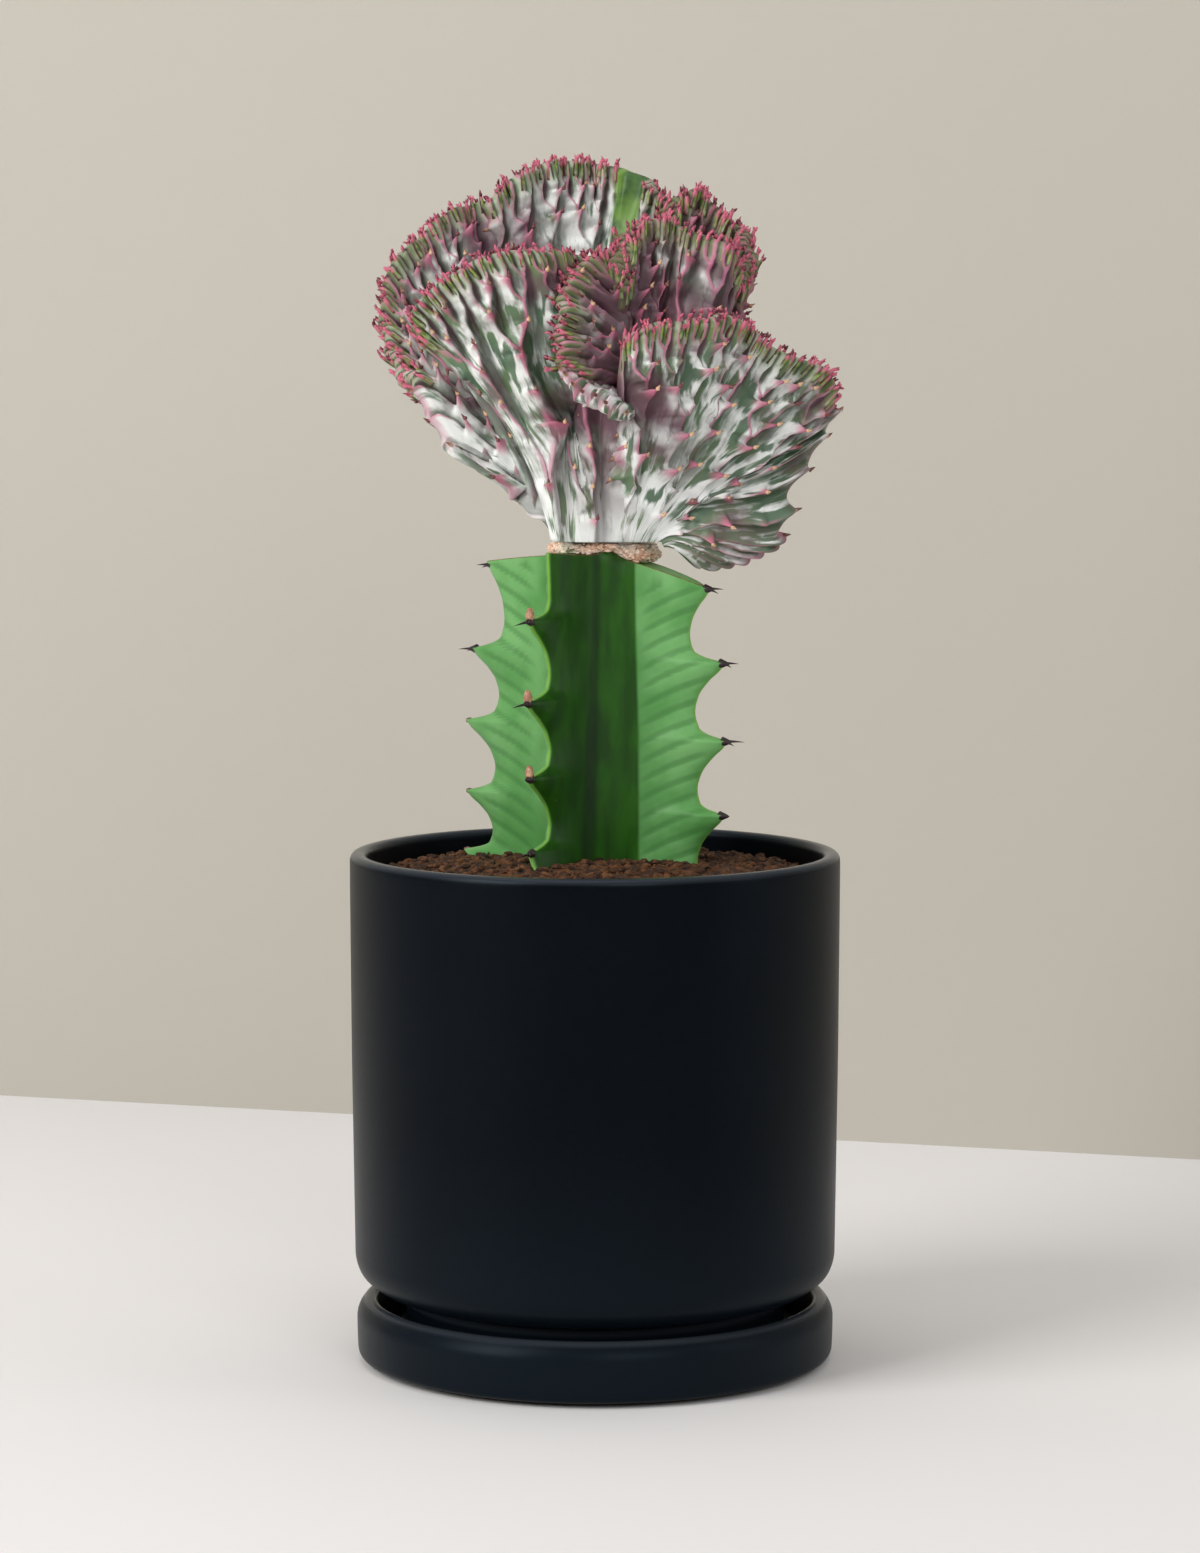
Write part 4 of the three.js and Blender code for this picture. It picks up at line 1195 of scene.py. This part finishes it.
            self.sheets.append(dict(
                points=points, to_margin=to_margin + settled_skin * toothed, rib=profile, spur=spur,
                fleck=fleck, torn=torn, rib_run=rib_run + shape.get("age", 0),
                ridge=np.max([np.exp(-(beside / 0.7) ** 2), side_ridge,
                              0.8 * toothed * np.exp(-(to_margin / 0.8) ** 2)], axis=0),
                fold_pigment_and_shade=0 * flat, purple=between([(value,) for value in shape["purple"]]) * flat, cross=ss,
                # painted shade: this mask darkens each rib's steep far flank and the notch above each tooth
                painted_lee_shade=np.maximum(smooth_between(0.15, 0.9, beside) * smooth_between(0.0, 0.5, profile),
                               0.9 * painted_notch_shadow)))
        seam = 0.5 * (self.sheets[0]["points"] + self.sheets[1]["points"])
        for sheet in self.sheets:
            sheet["points"][border] = seam[border]
        self.surface, self.face, self.up, self.across = surface, face, up, across
        self.rows, self.columns = rows, columns
        self.torn, self.toothed, self.to_margin = torn, toothed, to_margin
        points = self.sheets[0]["points"]
        self.edge_tips = []
        for column, way in ((0, -1), (-1, 1)):
            tooth = edge_tooth[column]
            for row in peaks_above(1.2, tooth):
                self.edge_tips.append((points[column, row],
                                       way * across[column, row] + 0.4 * up[column, row]))
        tooth = margin_tooth[:, -2]
        for column in peaks_above(1.5, tooth):
            self.edge_tips.append((points[column, -1], up[column, -1]))

    def closed_mesh(self):
        """Points, faces and stored values of the two sheets, joined along their shared border."""
        across, deep = self.columns + 1, self.rows + 1
        front = np.arange(across * deep).reshape(across, deep)
        back = np.full((across, deep), -1)
        back[0], back[-1], back[:, 0], back[:, -1] = front[0], front[-1], front[:, 0], front[:, -1]
        inside = back < 0
        back[inside] = across * deep + np.arange(inside.sum())
        points = np.concatenate([self.sheets[0]["points"].reshape(-1, 3), self.sheets[1]["points"][inside]])
        values = np.stack([np.concatenate([self.sheets[0][name].ravel(), self.sheets[1][name][inside]])
                           for name in sheet_values], -1)
        faces = []
        for sheet, flip in ((front, False), (back, True)):
            a, b = sheet[:-1, :-1].ravel(), sheet[1:, :-1].ravel()
            c, d = sheet[1:, 1:].ravel(), sheet[:-1, 1:].ravel()
            faces.append(np.stack([a, d, c, b] if flip else [a, b, c, d], -1))
        return points, np.concatenate(faces), values


built_fans = [Fan(number, shape) for number, shape in enumerate(fans)]

# a fold: where one fan comes close to another above the trunk, and in a fan's hollow, its skin turns purple,
# partly the plant's own pigment and partly painted shade
for fan in built_fans:
    others = [other.surface[::6, ::6].reshape(-1, 3) for other in built_fans if other is not fan]
    others = np.concatenate(others)
    near_others = kdtree.KDTree(len(others))
    for index, spot in enumerate(others):
        near_others.insert(spot, index)
    near_others.balance()
    coarse = fan.surface[::4, ::4]
    gap = np.array([[near_others.find(spot)[2] for spot in line] for line in coarse])
    i = np.minimum(np.arange(fan.columns + 1) / 4, gap.shape[0] - 1.001)
    j = np.minimum(np.arange(fan.rows + 1) / 4, gap.shape[1] - 1.001)
    i0, j0 = i.astype(int), j.astype(int)
    fi, fj = (i - i0)[:, None], (j - j0)[None, :]
    corner = [gap[np.ix_(i0 + a, j0 + b)] for a in (0, 1) for b in (0, 1)]
    gap = (corner[0] * (1 - fi) * (1 - fj) + corner[1] * (1 - fi) * fj
           + corner[2] * fi * (1 - fj) + corner[3] * fi * fj)
    for sheet in fan.sheets:
        # painted shade: nearness to another fan and the hollow stand in for shade, and are coloured purple
        fold_pigment_and_shade = smooth_between(11, 4, gap) * smooth_between(238, 256, fan.surface[..., 2])
        sheet["fold_pigment_and_shade"] = np.maximum(fold_pigment_and_shade, fan.hollow) * fans[fan.number].get("folded", 1)


def oval(z, width, depth, x, y, sides, wave=0.0):
    turn = 2 * np.pi * np.arange(sides) / sides
    share = 1 + wave * np.cos(sides / 10 * turn)
    level = np.full(sides, z)
    return np.stack([x + width * share * np.cos(turn), y + depth * share * np.sin(turn), level], -1)


def scratch_object(points, faces):
    mesh = bpy.data.meshes.new("scratch")
    mesh.from_pydata([tuple(p) for p in np.asarray(points)], [], [tuple(int(i) for i in f) for f in faces])
    mesh.update()
    thing = bpy.data.objects.new("scratch", mesh)
    bpy.context.scene.collection.objects.link(thing)
    return thing


def combine(body, other, operation):
    """Joins or cuts in place, and removes the other object."""
    change = body.modifiers.new("change", "BOOLEAN")
    change.operation = operation
    change.object = other
    change.solver = "MANIFOLD"
    bpy.context.view_layer.update()
    evaluated = body.evaluated_get(bpy.context.evaluated_depsgraph_get())
    mesh = bpy.data.meshes.new_from_object(evaluated)
    body.modifiers.remove(change)
    old = body.data
    body.data = mesh
    bpy.data.meshes.remove(old)
    other_mesh = other.data
    bpy.data.objects.remove(other)
    bpy.data.meshes.remove(other_mesh)


def keep_largest_shell(piece):
    """Drops the small sealed hollows and crumbs that joining leaves."""
    edges = np.empty(len(piece.data.edges) * 2, dtype=np.int32)
    piece.data.edges.foreach_get("vertices", edges)
    edges = edges.reshape(-1, 2)
    labels = np.arange(len(piece.data.vertices))
    settled = False
    while not settled:
        least = np.minimum(labels[edges[:, 0]], labels[edges[:, 1]])
        renewed = labels.copy()
        np.minimum.at(renewed, edges[:, 0], least)
        np.minimum.at(renewed, edges[:, 1], least)
        renewed = renewed[renewed]
        settled = (renewed == labels).all()
        labels = renewed
    names, counts = np.unique(labels, return_counts=True)
    if len(names) == 1:
        return
    dropped = np.nonzero(labels != names[counts.argmax()])[0]
    shell = bmesh.new()
    shell.from_mesh(piece.data)
    shell.verts.ensure_lookup_table()
    bmesh.ops.delete(shell, geom=[shell.verts[int(i)] for i in dropped], context="VERTS")
    shell.to_mesh(piece.data)
    shell.free()


crest_floor = callus_top + seat_gap
trunk_height, trunk_sides = 42, 120
trunk_rise = np.linspace(0, trunk_height, trunk_height)
trunk_width = np.interp(trunk_rise, [0, 3, 8, 14, 22, 30, trunk_height],
                        [0.97, 1.03, 1.08, 1.15, 1.2, 1.25, 0.9])
trunk_shift = trunk_rise * 3 / trunk_height
trunk_rings = [oval(crest_floor + up, callus_width * wide, callus_depth * wide, callus_x + shift,
                    callus_y - 1, trunk_sides, 0.045)
               for up, wide, shift in zip(trunk_rise, trunk_width, trunk_shift)]
trunk_points, trunk_faces = ringed_solid(
    trunk_rings, (callus_x, callus_y, crest_floor), (callus_x + 3, callus_y, crest_floor + 46))
trunk_round = np.repeat(np.arange(trunk_sides)[:, None] * 0.83, trunk_height, axis=1)
trunk_run = np.repeat(trunk_rise[None, :], trunk_sides, axis=0)
trunk_fleck = green_flecks(trunk_round, trunk_run, np.ones_like(trunk_run), 0.2, 3)
nothing = np.zeros(len(trunk_points))
trunk_values = dict.fromkeys(sheet_values, nothing)
trunk_values["to_margin"] = nothing + 80
trunk_values["rib"] = nothing + 0.9
trunk_values["rib_run"] = trunk_points[:, 2] - crest_floor
trunk_values["fleck"] = np.concatenate([trunk_fleck.T.ravel(), [0, 0]])
trunk_values["purple"] = nothing + 0.1
trunk_values["cross"] = np.concatenate([trunk_round.T.ravel(), [0, 0]])
room_foot = 195
room_rings = [oval(z, callus_width + 6.4, callus_depth + 8.0, callus_x, callus_y, trunk_sides)
              for z in (room_foot, crest_floor)]
room_points, room_faces = ringed_solid(room_rings, (callus_x, callus_y, room_foot),
                                       (callus_x, callus_y, crest_floor))

crest_skin, tree, shader = new_material("crest_skin")
place = object_place(tree)
skin = {name: attribute_node(tree, name).outputs["Fac"] for name in sheet_values}
near_margin = ranged(tree, skin["to_margin"], 26.0, 5.0)
fine = noise(tree, place, 500, 4, 0.6)
cloud = noise(tree, place, 85, 3, 0.55)
# a grain that runs along the ribs and narrows with them
grain_place = tree.nodes.new("ShaderNodeCombineXYZ")
tree.links.new(product(tree, skin["cross"], 0.55), grain_place.inputs["X"])
tree.links.new(product(tree, skin["rib_run"], 0.11), grain_place.inputs["Y"])
grain = noise(tree, grain_place.outputs["Vector"], 1.0, 4, 0.6)
# white flesh, veiled with grey green in the hollows between the ribs and here and there
veil = added(tree, cloud, ranged(tree, skin["rib"], 0.75, 0.1), 0.26)
veil = added(tree, veil, grain, 0.7)
veil = added(tree, veil, skin["purple"], 0.14)
veil = product(tree, ranged(tree, veil, 0.85, 1.18, 0.0, 0.90),
               ranged(tree, skin["rib_run"], 10.0, 38.0, 0.18, 1.0))
white = mixed(tree, ranged(tree, skin["rib_run"], 12.0, 40.0), (0.94, 0.96, 0.94), (0.80, 0.82, 0.79))
flesh = mixed(tree, veil, white, (0.125, 0.185, 0.125))
# deep green streaks that fade into the white along the grain
ragged = added(tree, product(tree, skin["fleck"], 0.50), grain, 1.7)
leaf_green = mixed(tree, ranged(tree, cloud, 0.40, 0.62), (0.030, 0.095, 0.036), (0.095, 0.195, 0.070))
streaked = mixed(tree, ranged(tree, ragged, 0.98, 1.38, 0.0, 0.92), flesh, leaf_green)
# violet where the plant's own pigment gathers towards the growing edge, and in folds and hollows, where it is
# partly painted shade
violet_share = added(tree, cloud, skin["purple"], 0.26)
violet_share = added(tree, violet_share, skin["fold_pigment_and_shade"], 0.38)
violet_share = product(tree, ranged(tree, violet_share, 0.58, 0.98, 0.0, 0.86),
                       ranged(tree, skin["rib_run"], 8.0, 34.0, 0.15, 1.0))
violet = mixed(tree, violet_share, streaked, (0.125, 0.040, 0.072))
fresh = mixed(tree, ranged(tree, skin["to_margin"], 8.5, 2.0, 0.0, 0.66), violet, (0.110, 0.190, 0.026))
# painted shade: the steep far flank of each rib, the notch just above each tooth and the groove beside each
# rib are darkened, most near the margin, partly the plant's own darker pigment
painted_shade_tint = mixed(tree, ranged(tree, cloud, 0.36, 0.54), (0.045, 0.062, 0.034), (0.060, 0.018, 0.032))
# painted shade: the grooves between the ribs are darkened
painted_groove_shade = ranged(tree, added(tree, skin["rib"], near_margin, -0.10), 0.34, 0.04)
painted_groove_shade = product(tree, painted_groove_shade, ranged(tree, near_margin, 0.0, 1.0, 0.34, 1.0))
groove_shaded = mixed(tree, painted_groove_shade, fresh, painted_shade_tint)
painted_lee_shade = product(tree, skin["painted_lee_shade"], ranged(tree, near_margin, 0.0, 1.0, 0.60, 0.88))
shaded = mixed(tree, painted_lee_shade, groove_shaded, painted_shade_tint)
# a pink line along each rib, widest at its teeth
pink_patch = ranged(tree, noise(tree, place, 75, 3), 0.36, 0.60, 0.10, 1.0)
pink_line = product(tree, ranged(tree, skin["ridge"], 0.45, 0.95, 0.0, 0.9), pink_patch)
pink_line = product(tree, pink_line, ranged(tree, skin["rib_run"], 10, 34, 0.1, 1.0))
pink_line = product(tree, pink_line, ranged(tree, skin["fold_pigment_and_shade"], 0.3, 0.9, 1.0, 0.40))
pinked = mixed(tree, pink_line, shaded, (0.52, 0.17, 0.27))
spurred = mixed(tree, ranged(tree, skin["spur"], 0.12, 0.75, 0.0, 0.85), pinked, (0.50, 0.13, 0.22))
tear = mixed(tree, ranged(tree, cloud, 0.40, 0.60), (0.035, 0.105, 0.016), (0.150, 0.290, 0.050))
tree.links.new(mixed(tree, skin["torn"], spurred, tear), shader.inputs["Base Color"])
shader.inputs["Roughness"].default_value = 0.48
shader.inputs["Subsurface Weight"].default_value = 0.06
shader.inputs["Subsurface Radius"].default_value = (0.8, 0.6, 0.4)
shader.inputs["Subsurface Scale"].default_value = 0.002
bump(tree, fine, shader, 0.25, 0.0004)

crest_pieces = [
    ("crest_left", True, (0, 1)),
    ("crest_front_left", False, (2, 3, 4, 9)),
    ("crest_right", False, (5, 6)),
    ("crest_front_right", False, (7,)),
    ("crest_back", False, (8,)),
]
for name, on_trunk, members in crest_pieces:
    places, kept, piece = [], [], None
    if on_trunk:
        piece = scratch_object(trunk_points * mm, trunk_faces)
        places.append(trunk_points)
        kept.append(np.stack([trunk_values[label] for label in sheet_values], -1))
    for member in members:
        points, faces, values = built_fans[member].closed_mesh()
        places.append(points)
        kept.append(values)
        fan_object = scratch_object(points * mm, faces)
        if piece is None:
            piece = fan_object
        else:
            combine(piece, fan_object, "UNION")
    combine(piece, scratch_object(room_points * mm, room_faces), "DIFFERENCE")
    keep_largest_shell(piece)
    places, kept = np.concatenate(places) * mm, np.concatenate(kept)
    nearest = kdtree.KDTree(len(places))
    for index, spot in enumerate(places):
        nearest.insert(spot, index)
    nearest.balance()
    found = kept[np.array([nearest.find(vertex.co)[1] for vertex in piece.data.vertices])]
    piece.name = name
    piece.data.shade_smooth()
    for column, label in enumerate(sheet_values):
        stored(piece, label, found[:, column])
    piece.data.materials.clear()
    piece.data.materials.append(crest_skin)
    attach(piece, "root")
    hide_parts("crest")

# Margin fingers
# The youngest ends of the ribs: a crowded comb of soft blunt fingers along each fan's growing
# edge. They are green on the back, pink to maroon on the flanks, and free of their neighbours.

fingers = Gathered()
finger_tips = []
finger_rings, finger_sides = 7, 8
top_limit, side_limit = 320.6, 64.8
random = np.random.default_rng(17)
for fan in built_fans:
    for which, sheet in enumerate(fan.sheets):
        side = 1 if which == 0 else -1
        row = int(np.argmin(np.abs(fan.to_margin[fan.columns // 2] - 2.4)))
        comb = sheet["rib"][:, row]
        peaks = peaks_above(0.5, comb)
        for peak in peaks:
            if peak < 3 or peak > fan.columns - 3 or fan.torn[peak, -1] > 0.3 or fan.toothed[peak, -1] > 0.5:
                continue
            reach_down = random.uniform(3.4, 5.6)
            first = int(np.argmin(np.abs(fan.to_margin[peak] - reach_down)))
            face, up, across = fan.face[peak, row] * side, fan.up[peak, row], fan.across[peak, row]
            start = sheet["points"][peak, first] - face * 0.95
            length = fan.to_margin[peak, first] + random.uniform(0.3, 1.9)
            heading = up + face * random.uniform(0.10, 0.26) + across * random.normal(0, 0.07)
            bend = face * random.uniform(-0.34, 0.06) + across * random.normal(0.02, 0.07)
            points, faces = curved_spike(start, heading, bend, length, random.uniform(0.66, 0.92),
                                         finger_sides, finger_rings, 0.34)
            points = np.array(points)
            points[:, 2] = np.minimum(points[:, 2], top_limit - 0.6)
            points[:, 0] = np.minimum(points[:, 0], side_limit - 0.6)
            rings = points[:-2].reshape(finger_rings, finger_sides, 3)
            flank = np.abs(normalised(rings - rings.mean(axis=1, keepdims=True)) @ across).ravel()
            along = np.repeat(np.arange(finger_rings) / finger_rings, finger_sides)
            hue = random.random()
            values = np.stack([np.append(along, [1.0, 0.0]), np.append(flank, [0.0, 0.0]),
                               np.full(len(points), hue)], -1)
            fingers.add(points, faces, values)
            tip_heading = normalised(normalised(heading) + 2 * bend)
            finger_tips.append((points[-2], tip_heading, face, across))

finger_skin, tree, shader = new_material("margin_finger_skin")
place = object_place(tree)
parts = tree.nodes.new("ShaderNodeSeparateXYZ")
tree.links.new(attribute_node(tree, "finger").outputs["Vector"], parts.inputs["Vector"])
along, flank, hue = parts.outputs["X"], parts.outputs["Y"], parts.outputs["Z"]
mottled = noise(tree, place, 500, 3)
green = mixed(tree, ranged(tree, mottled, 0.38, 0.62), (0.065, 0.130, 0.014), (0.250, 0.365, 0.060))
pale = mixed(tree, ranged(tree, along, 0.45, 0.10, 0.0, 0.50), green, (0.40, 0.45, 0.30))
maroon = mixed(tree, ranged(tree, hue, 0.45, 0.95), (0.050, 0.010, 0.016), (0.32, 0.060, 0.105))
flanked = mixed(tree, ranged(tree, flank, 0.25, 0.75, 0.0, 0.95), pale, maroon)
blush = added(tree, along, hue, 0.30)
tipped = mixed(tree, ranged(tree, blush, 0.62, 0.92), flanked, (0.54, 0.120, 0.190))
tree.links.new(tipped, shader.inputs["Base Color"])
shader.inputs["Roughness"].default_value = 0.42
bump(tree, mottled, shader, 0.3, 0.0003)
margin_fingers = fingers.piece("margin_fingers", "finger", finger_skin)
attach(margin_fingers, "root")
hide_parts("crest")

# Margin nubs
# Tiny curled leaf stumps on the ends of the fingers, fleshy, coral pink with dark red tips,
# two or three to a finger.

nubs = Gathered()
nub_rings, nub_sides = 4, 5
random = np.random.default_rng(21)
for tip, heading, face, across in finger_tips:
    for number in range(3):
        spread = random.uniform(0, 2 * math.pi)
        sideways = across * math.cos(spread) + face * math.sin(spread)
        start = tip - heading * random.uniform(0.5, 1.3) + sideways * 0.25
        aim = heading + sideways * random.uniform(0.25, 0.8)
        bend = sideways * random.uniform(-0.5, 0.4) + np.array([0, 0, random.uniform(-0.2, 0.35)])
        length = random.uniform(0.8, 1.5)
        points, faces = curved_spike(start, aim, bend, length, random.uniform(0.30, 0.45), nub_sides,
                                     nub_rings, 0.40)
        points = np.minimum(points, [side_limit, side_limit, top_limit])
        along = list(np.repeat(np.arange(nub_rings) / nub_rings, nub_sides)) + [1.0, 0.0]
        nubs.add(points, faces, along)

nub_skin, tree, shader = new_material("coral_nub_skin")
along = attribute_node(tree, "along_nub").outputs["Fac"]
place = object_place(tree)
hue = noise(tree, place, 300, 2)
coral = mixed(tree, ranged(tree, hue, 0.40, 0.56), (0.13, 0.020, 0.034), (0.62, 0.130, 0.21))
tipped = mixed(tree, ranged(tree, along, 0.68, 1.0, 0.0, 0.85), coral, (0.15, 0.02, 0.025))
tree.links.new(tipped, shader.inputs["Base Color"])
shader.inputs["Roughness"].default_value = 0.4
margin_nubs = nubs.piece("margin_nubs", "along_nub", nub_skin)
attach(margin_nubs, "root")
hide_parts("crest")

# Rib spines
# A tiny tan to orange spine tip on the point of each tubercle along the ribs, dry and horny, and
# one on each large tooth of the fans' side edges.

rib_spines = Gathered()
for fan in built_fans:
    for which, sheet in enumerate(fan.sheets):
        spur = sheet["spur"]
        peak = ((spur > 0.5) & (spur >= np.roll(spur, 1, 0)) & (spur > np.roll(spur, -1, 0))
                & (spur >= np.roll(spur, 1, 1)) & (spur > np.roll(spur, -1, 1)))
        peak[:2] = peak[-2:] = False
        peak[:, :2] = peak[:, -2:] = False
        side = 1 if which == 0 else -1
        taken = []
        for column, row in sorted(zip(*np.nonzero(peak)), key=lambda at: -spur[at]):
            face, up, across = fan.face[column, row] * side, fan.up[column, row], fan.across[column, row]
            spot = sheet["points"][column, row] - face * 0.35
            if any(np.linalg.norm(spot - other) < 3.5 for other in taken):
                continue
            taken.append(spot)
            lumps = spot + face * 0.35 + crumb_corners * 0.62
            rib_spines.add(lumps, crumb_faces, [0.2] * len(lumps))
            points, faces = curved_spike(spot, face * 0.7 + up * 0.7 + across * 0.3, up * 0.2, 1.7, 0.46, 5,
                                         3, 0.7)
            along = list(np.repeat(np.arange(3) / 3, 5)) + [1.0, 0.0]
            rib_spines.add(points, faces, along)
    for spot, outward in fan.edge_tips:
        points, faces = curved_spike(spot - outward * 0.6, outward, outward * 0, 2.0, 0.62, 5, 3, 0.7)
        points = np.clip(points, -side_limit, [side_limit, side_limit, top_limit])
        rib_spines.add(points, faces, list(np.repeat([0.55, 0.75, 0.9], 5)) + [1.0, 0.5])

tan_horn, tree, shader = new_material("tan_spine_tips")
along = attribute_node(tree, "along_spine").outputs["Fac"]
hue = noise(tree, object_place(tree), 150, 2)
base = mixed(tree, ranged(tree, hue, 0.42, 0.56), (0.16, 0.045, 0.045), (0.68, 0.43, 0.26))
tree.links.new(mixed(tree, ranged(tree, along, 0.45, 0.95), base, (0.15, 0.05, 0.03)),
               shader.inputs["Base Color"])
shader.inputs["Roughness"].default_value = 0.5
spine_tips = rib_spines.piece("rib_spine_tips", "along_spine", tan_horn)
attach(spine_tips, "root")
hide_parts("crest")
